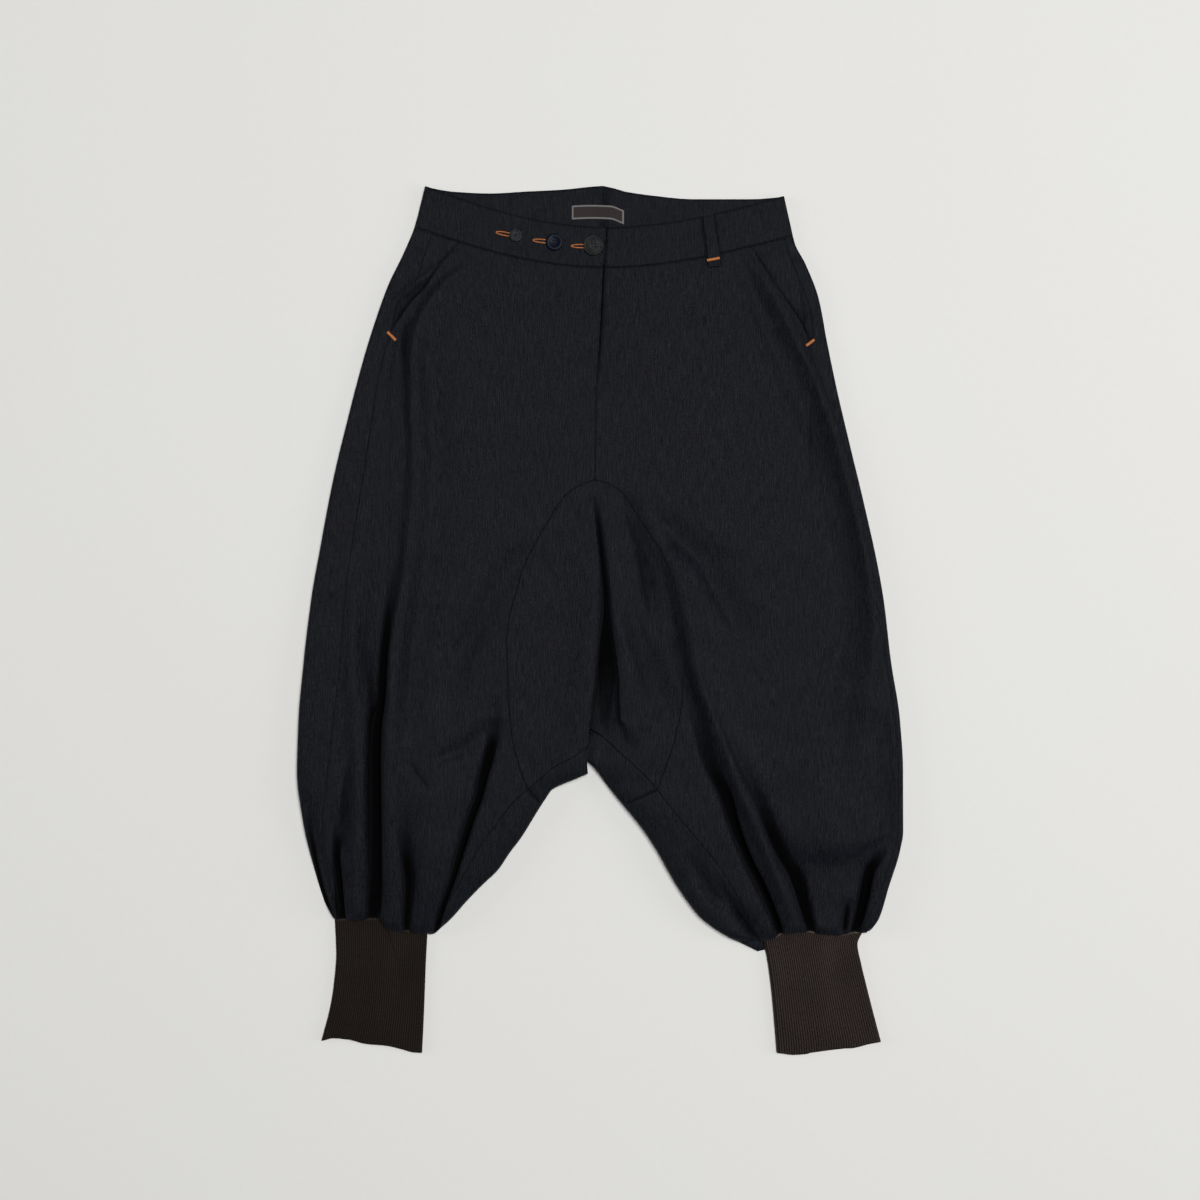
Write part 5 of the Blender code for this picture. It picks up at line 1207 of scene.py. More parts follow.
def keyhole(start, end, open_width):
    """Stitches round a buttonhole that its button pulls open."""
    start, end = np.array(start, float), np.array(end, float)
    length = np.linalg.norm(end - start)
    way = (end - start) / length
    side = np.array((-way[1], way[0]))
    shares = np.linspace(0, 1, 200)
    bulge = open_width * (0.35 + 0.65 * np.sin(np.pi * np.clip(shares * 0.9 + 0.08, 0, 1)))
    bulge = bulge * np.sqrt(np.clip(1 - (2 * shares - 1) ** 8, 0, 1))
    upper = start + way * (shares * length)[:, None] + side * bulge[:, None]
    lower = start + way * (shares * length)[:, None] - side * bulge[:, None]
    path = np.concatenate((upper, lower[::-1][1:], upper[:1]))
    stitches = []
    for number, (x, y, turn) in enumerate(walk(path, 0, 0.46, 0.3)):
        turn = turn + math.pi / 2 + 0.12 * math.sin(number * 1.7)
        z = float(height_at(x, y))
        stitches.append((x, y, z + 0.28, turn, 0.0, 1.45 + 0.15 * math.sin(number * 2.9), 0.44, 0.75))
    return stitches


def turned_button(name, x, y, radius, thickness, rings, finish):
    """A sewn-through button: disc, rim, dished middle with turned rings, four holes."""
    bpy.ops.object.select_all(action="DESELECT")
    bpy.ops.mesh.primitive_cylinder_add(
        vertices=56, radius=radius * MM, depth=thickness * DISC_SHARE * MM, end_fill_type="NGON",
        location=(x * MM, y * MM, (BUTTON_BASE + 0.5 * thickness * DISC_SHARE) * MM))
    thing = bpy.context.object
    thing.name = name
    bpy.ops.object.transform_apply(location=True, rotation=True, scale=True)
    bpy.ops.object.mode_set(mode="EDIT")
    bpy.ops.mesh.select_all(action="DESELECT")
    mesh = bmesh.from_edit_mesh(thing.data)
    for face in mesh.faces:
        face.select = face.normal.z > 0.9
    bmesh.update_edit_mesh(thing.data)
    for inset, rise in rings:
        bpy.ops.mesh.inset(thickness=inset * radius * MM, depth=0)
        bpy.ops.transform.translate(value=(0, 0, rise * thickness * MM))
    bpy.ops.object.mode_set(mode="OBJECT")
    apply_modifier(thing, "BEVEL", width=0.16 * MM, segments=2, limit_method="ANGLE", angle_limit=0.5)
    ring, hole = HOLE_RING * radius, 0.075 * radius + 0.18
    for number in range(4):
        turn = math.radians(45 + 90 * number)
        bpy.ops.object.select_all(action="DESELECT")
        bpy.ops.mesh.primitive_cylinder_add(
            vertices=16, radius=hole * MM, depth=4 * thickness * MM,
            location=((x + ring * math.cos(turn)) * MM, (y + ring * math.sin(turn)) * MM, BUTTON_BASE * MM))
        cutter = bpy.context.object
        apply_modifier(thing, "BOOLEAN", operation="DIFFERENCE", object=cutter, solver="EXACT")
        bpy.data.objects.remove(cutter)
    only(thing)
    bpy.ops.object.shade_smooth_by_angle(angle=math.radians(38))
    thing.data.materials.clear()
    thing.data.materials.append(material(finish))
    return thing


# ------------------------------------------------------------------------------------------ materials

MATERIALS = {}
# Share of the way the left cuff's knit is drawn to the groove tone, so that it is darker than the right cuff.
DARKER_KNIT = 0.6


def material(name):
    if name not in MATERIALS:
        MATERIALS[name] = MATERIAL_MAKERS[name]("harem " + name)
    return MATERIALS[name]


class Tree:
    """Short words for building a node tree."""

    def __init__(self, tree):
        self.tree = tree

    def node(self, kind, inputs=None, **settings):
        made = self.tree.nodes.new(kind)
        for key, value in settings.items():
            setattr(made, key, value)
        for key, value in (inputs or {}).items():
            if isinstance(value, bpy.types.NodeSocket):
                self.link(value, made.inputs[key])
            else:
                made.inputs[key].default_value = value
        return made

    def link(self, output, socket):
        self.tree.links.new(output, socket)

    def closed(self, out, colour, rough, height):
        """The tree of a group, with its three outputs linked."""
        for label, value in (("Color", colour), ("Roughness", rough), ("Height", height)):
            self.link(value, out.inputs[label])
        return self.tree

    def math(self, operation, first, second=0.0):
        return self.node("ShaderNodeMath", {0: first, 1: second}, operation=operation).outputs[0]

    def mix(self, share, first, second):
        return self.node("ShaderNodeMix", {0: share, 6: first, 7: second}, data_type="RGBA").outputs[2]

    def ramp(self, value, low, high, to_low=0.0, to_high=1.0):
        made = self.node("ShaderNodeMapRange", {
            "Value": value, "From Min": low, "From Max": high, "To Min": to_low, "To Max": to_high})
        return made.outputs["Result"]

    def grain(self, across, along):
        """Cloth coordinates scaled across the thread and along it."""
        place = self.node("ShaderNodeUVMap", uv_map="grain").outputs["UV"]
        scaled = self.node("ShaderNodeMapping", {"Vector": place, "Scale": (across, along, 1)})
        return scaled.outputs["Vector"]

    def staggered(self, across, along):
        """Cloth coordinates in which each thread starts at its own place."""
        place = self.node("ShaderNodeUVMap", uv_map="grain").outputs["UV"]
        apart = self.node("ShaderNodeSeparateXYZ", {"Vector": place})
        thread = self.noise(self.grain(across * 0.7, 0), detail=0)
        start = self.math("MULTIPLY", thread, 9)
        start = self.math("ADD", self.math("MULTIPLY", apart.outputs["Y"], along), start)
        wide = self.math("MULTIPLY", apart.outputs["X"], across)
        return self.node("ShaderNodeCombineXYZ", {"X": wide, "Y": start}).outputs["Vector"]

    def noise(self, vector, scale=1.0, detail=2.0, roughness=0.5):
        made = self.node("ShaderNodeTexNoise", {
            "Vector": vector, "Scale": scale, "Detail": detail, "Roughness": roughness})
        return made.outputs["Fac"]


def new_group(name, inputs):
    """An empty shader group with named inputs, for a colour, a roughness and a height."""
    tree = bpy.data.node_groups.new(name, "ShaderNodeTree")
    for label, value in inputs:
        kind = "NodeSocketColor" if isinstance(value, tuple) else "NodeSocketFloat"
        tree.interface.new_socket(name=label, in_out="INPUT", socket_type=kind).default_value = value
    for label in ("Color", "Roughness", "Height"):
        kind = "NodeSocketColor" if label == "Color" else "NodeSocketFloat"
        tree.interface.new_socket(name=label, in_out="OUTPUT", socket_type=kind)
    made = Tree(tree)
    return made, made.node("NodeGroupInput"), made.node("NodeGroupOutput")


def heather_group():
    """Heathered weave: upright slubs, fine speckle, the plain weave's bump, and painted shade where the cloth
    is shut in.
    """
    name = "heathered weave"
    if name in bpy.data.node_groups:
        return bpy.data.node_groups[name]
    tree, given, out = new_group(name, (
        ("Cloth", (0.01, 0.01, 0.01, 1)), ("Slub", (0.05, 0.05, 0.05, 1)),
        ("Shade", (0.004, 0.004, 0.004, 1)), ("Slub amount", 0.5),
        ("Hollow", (0.001, 0.001, 0.001, 1)), ("Roughness", 0.5)))
    streak = tree.noise(tree.staggered(1000, 80), detail=1)
    fine = tree.noise(tree.grain(1500, 800), detail=2, roughness=0.7)
    thread = tree.noise(tree.staggered(1250, 330), detail=1)
    cloudy = tree.noise(tree.grain(17, 7), detail=3, roughness=0.6)
    mottle = tree.math("ADD", tree.math("MULTIPLY", streak, 0.34), tree.math("MULTIPLY", fine, 0.33))
    mottle = tree.math("ADD", mottle, tree.math("MULTIPLY", thread, 0.33))
    slub = tree.ramp(mottle, 0.44, 0.63)
    slub = tree.math("MULTIPLY", slub, given.outputs["Slub amount"])
    dark = tree.ramp(mottle, 0.50, 0.38, 0.0, 0.6)
    base = tree.mix(dark, given.outputs["Cloth"], given.outputs["Shade"])
    base = tree.mix(tree.ramp(cloudy, 0.66, 0.34, 0.0, 0.16), base, given.outputs["Shade"])
    colour = tree.mix(slub, base, given.outputs["Slub"])
    # Painted shade: the colour is drawn to the fold shade tone where the hollow map says the cloth is shut
    # in.
    folded = tree.node("ShaderNodeUVMap", uv_map="hollow").outputs["UV"]
    hollow = tree.node("ShaderNodeSeparateXYZ", {"Vector": folded}).outputs["X"]
    colour = tree.mix(hollow, colour, given.outputs["Hollow"])
    warp = tree.node("ShaderNodeTexWave", {"Vector": tree.grain(1700, 60), "Scale": 1.0, "Distortion": 1.5,
                                           "Detail": 1.0}, bands_direction="X").outputs["Fac"]
    rib = tree.node("ShaderNodeTexWave", {"Vector": tree.grain(60, 1500), "Scale": 1.0, "Distortion": 1.5,
                                          "Detail": 1.0}, bands_direction="Y").outputs["Fac"]
    height = tree.math("ADD", tree.math("MULTIPLY", tree.math("ADD", warp, rib), 0.25), streak)
    height = tree.math("ADD", height, tree.math("MULTIPLY", fine, 0.7))
    rough = tree.math("ADD", given.outputs["Roughness"], tree.ramp(streak, 0.3, 0.7, 0.05, -0.05))
    rough = tree.math("ADD", rough, tree.math("MULTIPLY", hollow, 0.5))
    return tree.closed(out, colour, rough, height)


def knit_group():
    """Rib knit: light rib backs, stitch rows, painted shade between the ribs and a pale worn top edge."""
    name = "rib knit"
    if name in bpy.data.node_groups:
        return bpy.data.node_groups[name]
    tree, given, out = new_group(name, (
        ("Knit", (0.02, 0.02, 0.02, 1)), ("Light", (0.1, 0.1, 0.1, 1)), ("Edge", (0.3, 0.3, 0.3, 1)),
        ("Groove", (0.004, 0.003, 0.003, 1)), ("Roughness", 0.8)))
    place = tree.node("ShaderNodeUVMap", uv_map="grain").outputs["UV"]
    apart = tree.node("ShaderNodeSeparateXYZ", {"Vector": place})
    rows = tree.node("ShaderNodeTexWave", {"Vector": tree.grain(20, 200), "Scale": 1.0, "Distortion": 2.0,
                                           "Detail": 1.0}, bands_direction="Y").outputs["Fac"]
    fuzz = tree.noise(tree.grain(1100, 500), detail=2)
    cloudy = tree.noise(tree.grain(22, 14), detail=2)
    turn = tree.math("MULTIPLY", apart.outputs["X"], math.pi / (RIB_PITCH * MM))
    crown = tree.math("ABSOLUTE", tree.math("SINE", turn))
    light = tree.ramp(tree.math("ADD", fuzz, tree.math("MULTIPLY", cloudy, 0.5)), 0.62, 0.98)
    colour = tree.mix(light, given.outputs["Knit"], given.outputs["Light"])
    # Painted shade: the colour is drawn to the groove tone between the rib crowns.
    colour = tree.mix(tree.ramp(crown, 0.85, 0.25, 0.0, 0.95), colour, given.outputs["Groove"])
    worn = tree.ramp(apart.outputs["Y"], -0.0022, -0.0006)
    worn = tree.math("MULTIPLY", worn, tree.ramp(tree.noise(tree.grain(60, 1)), 0.35, 0.6, 0.35, 1.0))
    colour = tree.mix(worn, colour, given.outputs["Edge"])
    height = tree.math("ADD", tree.math("MULTIPLY", rows, 0.5), fuzz)
    rough = tree.math("ADD", given.outputs["Roughness"], tree.ramp(fuzz, 0.3, 0.7, 0.06, -0.06))
    return tree.closed(out, colour, rough, height)


def surface_material(name, specular, sheen=0.0, tint=(1, 1, 1)):
    """A material with its Principled shader set and an empty tree helper."""
    made = bpy.data.materials.new(name)
    made.use_nodes = True
    shader = made.node_tree.nodes["Principled BSDF"]
    shader.inputs["Specular IOR Level"].default_value = specular
    shader.inputs["Sheen Weight"].default_value = sheen
    shader.inputs["Sheen Roughness"].default_value = 0.5
    shader.inputs["Sheen Tint"].default_value = (*tint, 1)
    return made, shader, Tree(made.node_tree)


def grouped(name, group, values, bump, bump_height, **settings):
    """A material that takes its colour, roughness and bump from one group."""
    made, shader, tree = surface_material(name, **settings)
    holder = tree.node("ShaderNodeGroup", node_tree=group)
    for key, value in values.items():
        holder.inputs[key].default_value = value
    relief = tree.node("ShaderNodeBump", {
        "Height": holder.outputs["Height"], "Strength": bump, "Distance": bump_height})
    tree.link(holder.outputs["Color"], shader.inputs["Base Color"])
    tree.link(holder.outputs["Roughness"], shader.inputs["Roughness"])
    tree.link(relief.outputs["Normal"], shader.inputs["Normal"])
    return made


def colours():
    return bpy.context.scene.harem_colours


def cloth_material(name):
    own = colours()
    return grouped(name, heather_group(), {
        "Cloth": (*own.cloth, 1), "Slub": (*own.slub, 1), "Shade": (*own.cloth_shade, 1),
        "Hollow": (*own.cloth_fold_shade, 1), "Slub amount": 0.85, "Roughness": 0.46,
    }, bump=0.42, bump_height=0.22 * MM, sheen=0.02, specular=own.cloth_gloss, tint=(0.75, 0.82, 1))


def knit_material(darker):
    """Rib knit whose yarns lie a share of the way to the tone between the ribs."""
    def make(name):
        own = colours()
        knit, light, edge = (
            (*(c + (g - c) * darker for c, g in zip(colour, own.knit_groove_shade)), 1)
            for colour in (own.knit, own.knit_light, own.knit_edge))
        return grouped(name, knit_group(), {
            "Knit": knit, "Light": light, "Edge": edge, "Groove": (*own.knit_groove_shade, 1), "Roughness": 0.85,
        }, bump=0.4, bump_height=0.3 * MM, sheen=0.02, specular=0.12, tint=(1, 0.9, 0.85))
    return make


def resin_material(colour, cloud, roughness, gloss):
    def make(name):
        made, shader, tree = surface_material(name, specular=gloss)
        place = tree.node("ShaderNodeTexCoord").outputs["Object"]
        marble = tree.noise(place, 260, 3)
        scratch = tree.noise(place, 2400, 2)
        mixed = tree.mix(tree.ramp(marble, 0.35, 0.7), (*colour, 1), (*cloud, 1))
        tree.link(mixed, shader.inputs["Base Color"])
        rough = tree.ramp(scratch, 0.3, 0.7, roughness - 0.05, roughness + 0.08)
        tree.link(rough, shader.inputs["Roughness"])
        return made
    return make


def thread_material(kind):
    def make(name):
        own = colours()
        light = own.thread if kind == "amber" else own.tone
        deep = own.thread_deep if kind == "amber" else own.tone_deep
        made, shader, tree = surface_material(name, specular=0.3, sheen=0.05)
        place = tree.node("ShaderNodeTexCoord").outputs["Object"]
        twist = tree.noise(place, 2600, 1)
        mixed = tree.mix(tree.ramp(twist, 0.35, 0.65), (*deep, 1), (*light, 1))
        tree.link(mixed, shader.inputs["Base Color"])
        rough = tree.ramp(twist, 0.3, 0.7, 0.7, 0.5)
        tree.link(rough, shader.inputs["Roughness"])
        return made
    return make


def label_material(name):
    """Bare woven patch: a dark satin field inside a plain grey border."""
    own = colours()
    made, shader, tree = surface_material(name, specular=0.25, sheen=0.03)
    place = tree.node("ShaderNodeUVMap", uv_map="grain").outputs["UV"]
    apart = tree.node("ShaderNodeSeparateXYZ", {"Vector": place})
    to_edge = []
    for axis, length in (("X", LABEL_LENGTH), ("Y", LABEL_DEPTH)):
        rest = tree.math("SUBTRACT", length * MM, apart.outputs[axis])
        to_edge.append(tree.math("MINIMUM", apart.outputs[axis], rest))
    edge = tree.math("MINIMUM", *to_edge)
    border = tree.ramp(edge, 1.9 * MM, 1.5 * MM)
    weave = tree.noise(tree.grain(1800, 700), detail=2)
    field = tree.mix(tree.ramp(weave, 0.3, 0.7), (*own.label_deep, 1), (*own.label, 1))
    deep_grey = [0.75 * c for c in own.label_border]
    grey = tree.mix(tree.ramp(weave, 0.3, 0.7), (*deep_grey, 1), (*own.label_border, 1))
    tree.link(tree.mix(border, field, grey), shader.inputs["Base Color"])
    tree.link(tree.ramp(weave, 0.3, 0.7, 0.55, 0.75), shader.inputs["Roughness"])
    relief = tree.node("ShaderNodeBump", {
        "Height": tree.math("ADD", weave, border), "Strength": 0.3, "Distance": 0.2 * MM})
    tree.link(relief.outputs["Normal"], shader.inputs["Normal"])
    return made


def floor_material(name):
    own = colours()
    made, shader, tree = surface_material(name, specular=0.1)
    place = tree.node("ShaderNodeTexCoord").outputs["Object"]
    cloudy = tree.noise(place, 3.2, 3)
    grain = tree.noise(place, 160, 2)
    base = tree.mix(tree.ramp(cloudy, 0.35, 0.65), (*own.floor, 1), (*own.floor_cool, 1))
    base = tree.mix(tree.ramp(grain, 0.3, 0.7, 0.0, 0.10), base, (*[0.9 * c for c in own.floor], 1))
    tree.link(base, shader.inputs["Base Color"])
    tree.link(tree.ramp(grain, 0.3, 0.7, 0.85, 0.95), shader.inputs["Roughness"])
    return made


MATERIAL_MAKERS = {
    "cloth": cloth_material,
    "knit": knit_material(0.0),
    "darker knit": knit_material(DARKER_KNIT),
    "navy resin": resin_material((0.002, 0.0035, 0.009), (0.0035, 0.006, 0.014), 0.34, 0.05),
    "horn resin": resin_material((0.008, 0.009, 0.012), (0.020, 0.022, 0.026), 0.45, 0.09),
    "grey resin": resin_material((0.006, 0.007, 0.008), (0.022, 0.022, 0.022), 0.48, 0.09),
    "label": label_material,
    "amber thread": thread_material("amber"),
    "tone thread": thread_material("tone"),
    "floor": floor_material,
}


# ------------------------------------------------------------------------------- settings and operators

def length_property(name, description, length):
    return bpy.props.FloatProperty(name=name, description=description, default=length, unit="LENGTH")


def colour_property(name, description, *colour):
    return bpy.props.FloatVectorProperty(name=name, description=description, subtype="COLOR", default=colour)


class HaremCloth(bpy.types.PropertyGroup):
    """Sizes a maker may change."""
    wall: length_property("Cloth thickness", "Wall of the trouser cloth", 0.9 * MM)
    band_wall: length_property("Waistband thickness", "Wall of the doubled waistband", 1.4 * MM)
    knit_wall: length_property("Knit thickness", "Wall of the rib knit", 1.3 * MM)
    pace: length_property("Section spacing", "Distance between cross sections", 3.0 * MM)
    columns: bpy.props.IntProperty(
        name="Front columns", description="Mesh columns across a front panel", default=150, min=20, max=160)


class HaremColours(bpy.types.PropertyGroup):
    """Colours and finishes a maker may change."""
    cloth: colour_property("Cloth", "Charcoal of the yarn", 0.0031, 0.0034, 0.0048)
    cloth_shade: colour_property("Cloth shade", "Darker yarns", 0.0011, 0.0012, 0.0017)
    # Painted shade: the tone the cloth is drawn to in folds, along seams and beside lapped edges and the belt
    # loop.
    cloth_fold_shade: colour_property("Cloth in folds", "Deeper tone between the folds", 0.0007, 0.0007, 0.0008)
    slub: colour_property("Slub", "Light upright yarns", 0.0192, 0.0207, 0.0272)
    cloth_gloss: bpy.props.FloatProperty(
        name="Cloth gloss", description="Specular level of the yarn", default=0.040, min=0, max=1)
    knit: colour_property("Knit", "Brown of the rib knit", 0.0185, 0.0130, 0.0118)
    knit_light: colour_property("Knit light", "Lighter fibres", 0.044, 0.033, 0.032)
    knit_edge: colour_property("Knit edge", "Worn top edge of the cuffs", 0.10, 0.075, 0.06)
    # Painted shade between the ribs.
    knit_groove_shade: colour_property("Knit groove", "Between the ribs", 0.0042, 0.0024, 0.0006)
    thread: colour_property("Thread", "Amber thread", 0.62, 0.24, 0.07)
    thread_deep: colour_property("Thread shade", "Between the strands", 0.38, 0.11, 0.025)
    tone: colour_property("Tone thread", "Thread in the cloth's colour", 0.004, 0.004, 0.005)
    tone_deep: colour_property("Tone thread shade", "Between its strands", 0.002, 0.002, 0.003)
    label: colour_property("Label field", "Bare woven field", 0.015, 0.0065, 0.0055)
    label_deep: colour_property("Label field shade", "Dark yarns of the field", 0.006, 0.003, 0.0028)
    label_border: colour_property("Label border", "Grey woven border", 0.16, 0.15, 0.145)
    floor: colour_property("Floor", "Pale floor", 0.742, 0.734, 0.709)
    floor_cool: colour_property("Floor clouding", "Faint cooler clouds of the floor", 0.738, 0.736, 0.719)


HALVES = {}


def half_of(side):
    """Fine sections of one half, made once for a spacing."""
    pace = bpy.context.scene.harem_cloth.pace / MM
    if (side, pace) not in HALVES:
        HALVES[side, pace] = Half(side, pace)
    return HALVES[side, pace]


class HAREM_OT_fronts(bpy.types.Operator):
    """Front panels with the leg folds and hem gathers"""
    bl_idname = "harem.fronts"
    bl_label = "Front panels"

    def execute(self, context):
        own = context.scene.harem_cloth
        for side in SIDES:
            half = half_of(side)
            patches = tagged(front_panel(half.pick(BAND_ROW, half.last), own.columns), side == "right")
            cloth_piece("front_panel_" + side, patches, own.wall, "cloth", ["front_" + side])
        return {"FINISHED"}


class HAREM_OT_pocket_bearers(bpy.types.Operator):
    """Side pieces that show in the slant pocket mouths"""
    bl_idname = "harem.pocket_bearers"
    bl_label = "Pocket bearers"

    def execute(self, context):
        own = context.scene.harem_cloth
        for side in SIDES:
            patches = tagged(side_panel(half_of(side).pick(BAND_ROW, TACK_ROW)), side == "right")
            cloth_piece("pocket_bearer_" + side, patches, own.wall, "cloth", ["side_panel_" + side])
        return {"FINISHED"}


class HAREM_OT_backs(bpy.types.Operator):
    """Back panels, turned on to the front at the side seam and the inseam"""
    bl_idname = "harem.backs"
    bl_label = "Back panels"

    def execute(self, context):
        own = context.scene.harem_cloth
        for side in SIDES:
            half = half_of(side)
            patches = tagged(back_panel(half.pick(BAND_ROW, half.last)), side == "right")
            cloth_piece("back_panel_" + side, patches, own.wall, "cloth", ["back_" + side])
        return {"FINISHED"}


class HAREM_OT_gussets(bpy.types.Operator):
    """Arched front gusset with its centre pleat, and both halves of the back gusset"""
    bl_idname = "harem.gussets"
    bl_label = "Gussets"

    def execute(self, context):
        own = context.scene.harem_cloth
        left, right = half_of("left"), half_of("right")
        patches = gusset_front(left, right)
        patches = [(*patches[0], False), (*patches[1], True)]
        cloth_piece("gusset_front_pleated", patches, own.wall, "cloth", ["gusset_front"])
        for side in SIDES:
            patches = tagged(gusset_back(half_of(side)), side == "right")
            cloth_piece("back_gusset_" + side, patches, own.wall, "cloth", ["gusset_back_" + side])
        return {"FINISHED"}


class HAREM_OT_waistband(bpy.types.Operator):
    """Shaped waistband in two halves, with the button extension under the left end"""
    bl_idname = "harem.waistband"
    bl_label = "Waistband"

    def execute(self, context):
        own = context.scene.harem_cloth
        bands = {side: waistband(half_of(side).pick(0, BAND_ROW)) for side in SIDES}
        under = underlap(half_of("left").pick(0, BAND_ROW), bands["right"][0][0])
        for side in SIDES:
            patches = tagged(bands[side], side == "right")
            if side == "right":
                patches.append((*under, False))
            cloth_piece("waistband_shaped_" + side, patches, own.band_wall, "cloth", ["waistband_" + side])
        return {"FINISHED"}


class HAREM_OT_cuffs(bpy.types.Operator):
    """Rib knit cuffs"""
    bl_idname = "harem.cuffs"
    bl_label = "Rib cuffs"

    def execute(self, context):
        own = context.scene.harem_cloth
        for side in SIDES:
            half = half_of(side)
            patches = [(*cuff_patch(side, half), True)]
            finish = "darker knit" if side == "left" else "knit"
            cloth_piece("rib_cuff_" + side, patches, own.knit_wall, finish, ["cuff_" + side])
        return {"FINISHED"}


class HAREM_OT_buttons(bpy.types.Operator):
    """Three sewn-through buttons with their threads"""
    bl_idname = "harem.buttons"
    bl_label = "Buttons"

    def execute(self, context):
        for name, x, y, radius, thickness, rings, finish in BUTTONS:
            disc = turned_button(name + "_turned", x, y, radius, thickness, rings, finish)
            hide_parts(name)
            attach(disc, "root")
            step = HOLE_RING * radius * math.cos(math.pi / 4)
            top = BUTTON_BASE + thickness * DISC_SHARE + sum(rise for _, rise in rings) * thickness
            stitches = []
            for way in (-1, 1):
                for strand in (-0.22, 0.22):
                    stitches.append((x + way * step + strand, y, top + 0.12, math.pi / 2, 0.0,
                                     2.7 * step, 0.42, 0.5))
            for strand in range(7):
                turn = strand * math.pi / 7
                stitches.append((x + 0.5 * math.cos(turn), y + 0.5 * math.sin(turn), BAND_HEIGHT + 0.3, turn,
                                 0.0, 2.6, 0.6, 1.1))
            sewn(name + "_thread", stitches, "tone thread")
        return {"FINISHED"}


class HAREM_OT_buttonholes(bpy.types.Operator):
    """Amber buttonholes that the buttons pull open"""
    bl_idname = "harem.buttonholes"
    bl_label = "Buttonholes"

    def execute(self, context):
        for name, start, end, width in BUTTONHOLES:
            sewn(name, keyhole(start, end, width), "amber thread")
        return {"FINISHED"}


class HAREM_OT_belt_loop(bpy.types.Operator):
    """Belt loop and its folded end"""
    bl_idname = "harem.belt_loop"
    bl_label = "Belt loop"

    def execute(self, context):
        own = context.scene.harem_cloth
        points = loop_points()
        grain = np.stack((points[..., 0], points[..., 1]), -1) * MM
        cloth_piece("belt_loop_folded", [(points, grain, True)], own.wall, "cloth", ["belt_loop"])
        return {"FINISHED"}


class HAREM_OT_bar_tacks(bpy.types.Operator):
    """Amber bar tacks at the pocket ends and across the belt loop"""
    bl_idname = "harem.bar_tacks"
    bl_label = "Bar tacks"

    def execute(self, context):
        for name, start, end, width, lift in BAR_TACKS:
            count = round(math.dist(start, end) / 0.5) + 1
            sewn(name, satin(start, end, count, width, 0.62, 0.8, lift), "amber thread")
        return {"FINISHED"}


class HAREM_OT_inside_stitching(bpy.types.Operator):
    """Tone-on-tone stitching on the inside of the back waistband"""
    bl_idname = "harem.inside_stitching"
    bl_label = "Inside stitching"

    def execute(self, context):
        for name, path in INSIDE_ROWS:
            sewn(name, row_of_stitches(path, 2.6, 2.1, 0.5, 0.5, BAND_INSIDE + 0.1), "tone thread")
        return {"FINISHED"}


class HAREM_OT_label(bpy.types.Operator):
    """Bare woven patch inside the back waistband"""
    bl_idname = "harem.label"
    bl_label = "Bare woven patch"

    def execute(self, context):
        share = np.linspace(0, 1, 90)[:, None]
        deep = np.linspace(0, 1, 26)[None]
        x = LABEL[0][0] + (LABEL[-1][0] - LABEL[0][0]) * share + 0 * deep
        y = smooth(x, LABEL) - LABEL_DEPTH * deep
        edge = np.minimum(
            np.minimum(share, 1 - share) * LABEL_LENGTH, np.minimum(deep, 1 - deep) * LABEL_DEPTH)
        z = BAND_INSIDE + 0.45 + 0.35 * (1 - np.exp(-edge / 0.5)) + 0.15 * np.sin(share * 9 + deep * 2)
        points = grid(x, y, z)
        grain = np.stack(np.broadcast_arrays(share * LABEL_LENGTH * MM, deep * LABEL_DEPTH * MM), -1)
        thing = make_surface("bare_patch", [(points, grain, True)])
        apply_modifier(thing, "SOLIDIFY", thickness=0.4 * MM, offset=-1, use_even_offset=False, use_rim=True)
        finished(thing, "label", ["label"])
        return {"FINISHED"}


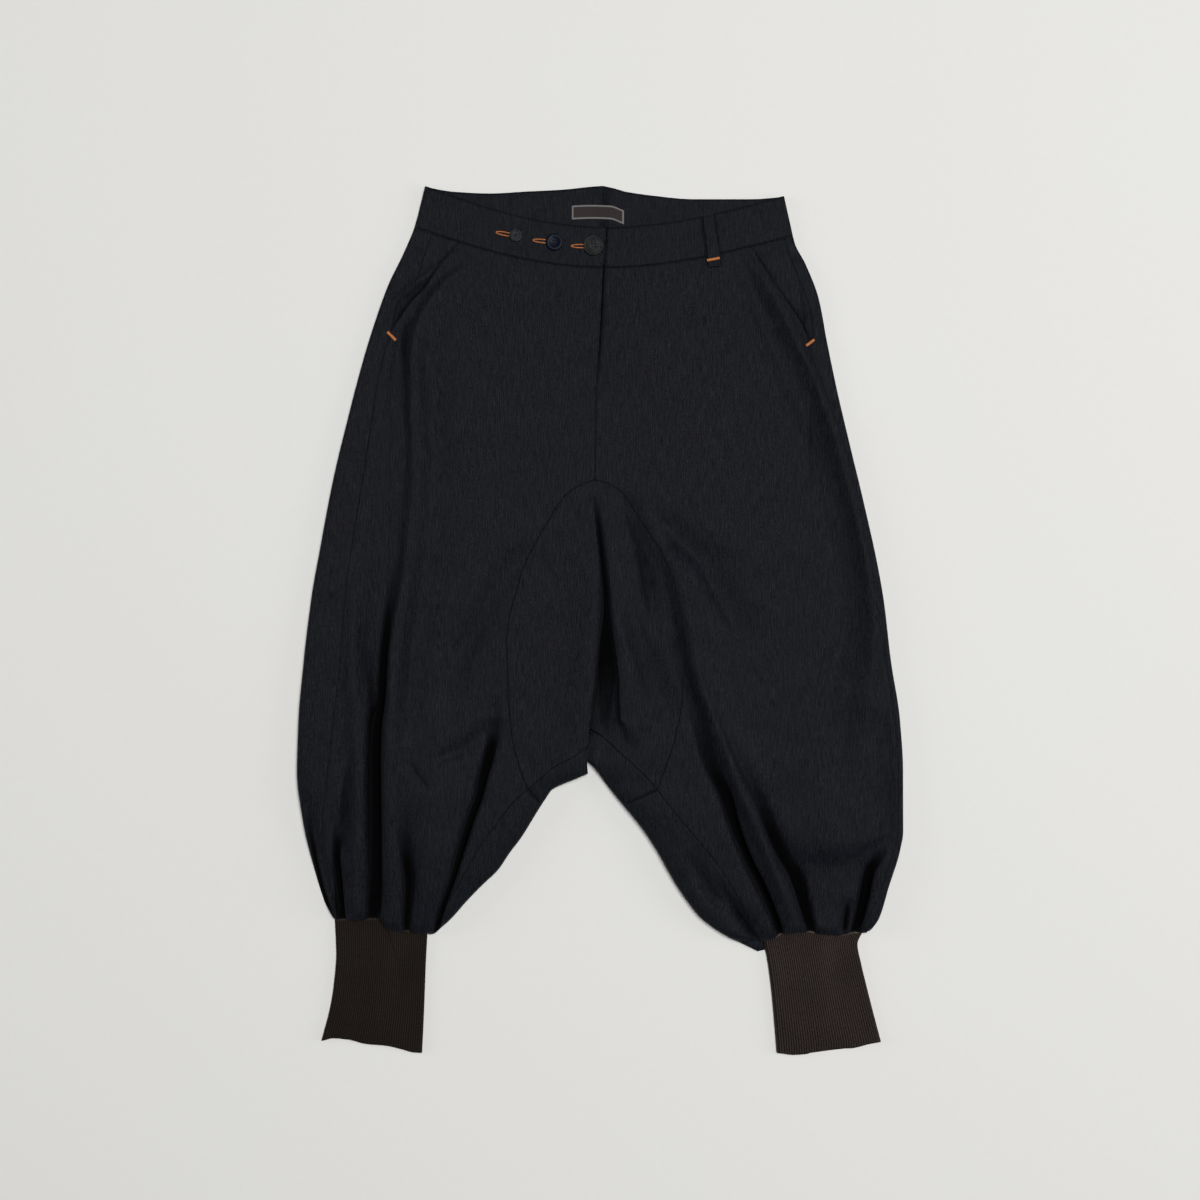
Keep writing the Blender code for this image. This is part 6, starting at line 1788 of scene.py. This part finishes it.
class HAREM_OT_stage(bpy.types.Operator):
    """Pale floor, soft studio light and the camera overhead"""
    bl_idname = "harem.stage"
    bl_label = "Floor, light and camera"

    def execute(self, context):
        bpy.ops.object.select_all(action="DESELECT")
        bpy.ops.mesh.primitive_plane_add(size=14, location=(0, 0, -0.0003))
        floor = context.object
        floor.name = "floor"
        bpy.ops.object.transform_apply(location=True, rotation=True, scale=True)
        floor.data.materials.append(material("floor"))
        scene = context.scene
        world = bpy.data.worlds.new("soft room")
        scene.world = world
        world.use_nodes = True
        sky = world.node_tree.nodes["Background"]
        sky.inputs["Color"].default_value = (1, 1, 1, 1)
        sky.inputs["Strength"].default_value = ROOM_LIGHT
        scene.view_settings.view_transform = "Standard"
        for name, place, size, power in LIGHTS:
            light = bpy.data.lights.new(name, "AREA")
            light.size, light.energy = size, power
            holder = bpy.data.objects.new(name, light)
            holder.location = place
            holder.rotation_euler = (Vector(MIDDLE) - Vector(place)).to_track_quat("-Z", "Y").to_euler()
            scene.collection.objects.link(holder)
        lens = bpy.data.cameras.new("camera")
        lens.lens, lens.sensor_width = LENS, SENSOR
        camera = bpy.data.objects.new("camera", lens)
        camera.location = CAMERA_PLACE
        scene.collection.objects.link(camera)
        scene.camera = camera
        return {"FINISHED"}


OPERATORS = (
    HAREM_OT_fronts, HAREM_OT_pocket_bearers, HAREM_OT_backs, HAREM_OT_gussets, HAREM_OT_waistband,
    HAREM_OT_cuffs, HAREM_OT_buttons, HAREM_OT_buttonholes, HAREM_OT_belt_loop, HAREM_OT_bar_tacks,
    HAREM_OT_inside_stitching, HAREM_OT_label, HAREM_OT_stage)


class HAREM_PT_panel(bpy.types.Panel):
    """Lists the pieces of the garment in the order they are made"""
    bl_label = "Harem pants"
    bl_idname = "HAREM_PT_panel"
    bl_space_type = "VIEW_3D"
    bl_region_type = "UI"
    bl_category = "Harem pants"

    def draw(self, context):
        column = self.layout.column(align=True)
        for operator in OPERATORS:
            column.operator(operator.bl_idname)
        for settings in (context.scene.harem_cloth, context.scene.harem_colours):
            box = self.layout.box()
            for key in settings.__annotations__:
                box.prop(settings, key)


CLASSES = (HaremCloth, HaremColours, *OPERATORS, HAREM_PT_panel)


def register():
    for made in CLASSES:
        bpy.utils.register_class(made)
    bpy.types.Scene.harem_cloth = bpy.props.PointerProperty(type=HaremCloth)
    bpy.types.Scene.harem_colours = bpy.props.PointerProperty(type=HaremColours)


def unregister():
    del bpy.types.Scene.harem_cloth
    del bpy.types.Scene.harem_colours
    for made in reversed(CLASSES):
        bpy.utils.unregister_class(made)


def main():
    register()
    for operator in OPERATORS:
        family, name = operator.bl_idname.split(".")
        getattr(getattr(bpy.ops, family), name)()
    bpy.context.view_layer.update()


if __name__ == "__main__":
    main()
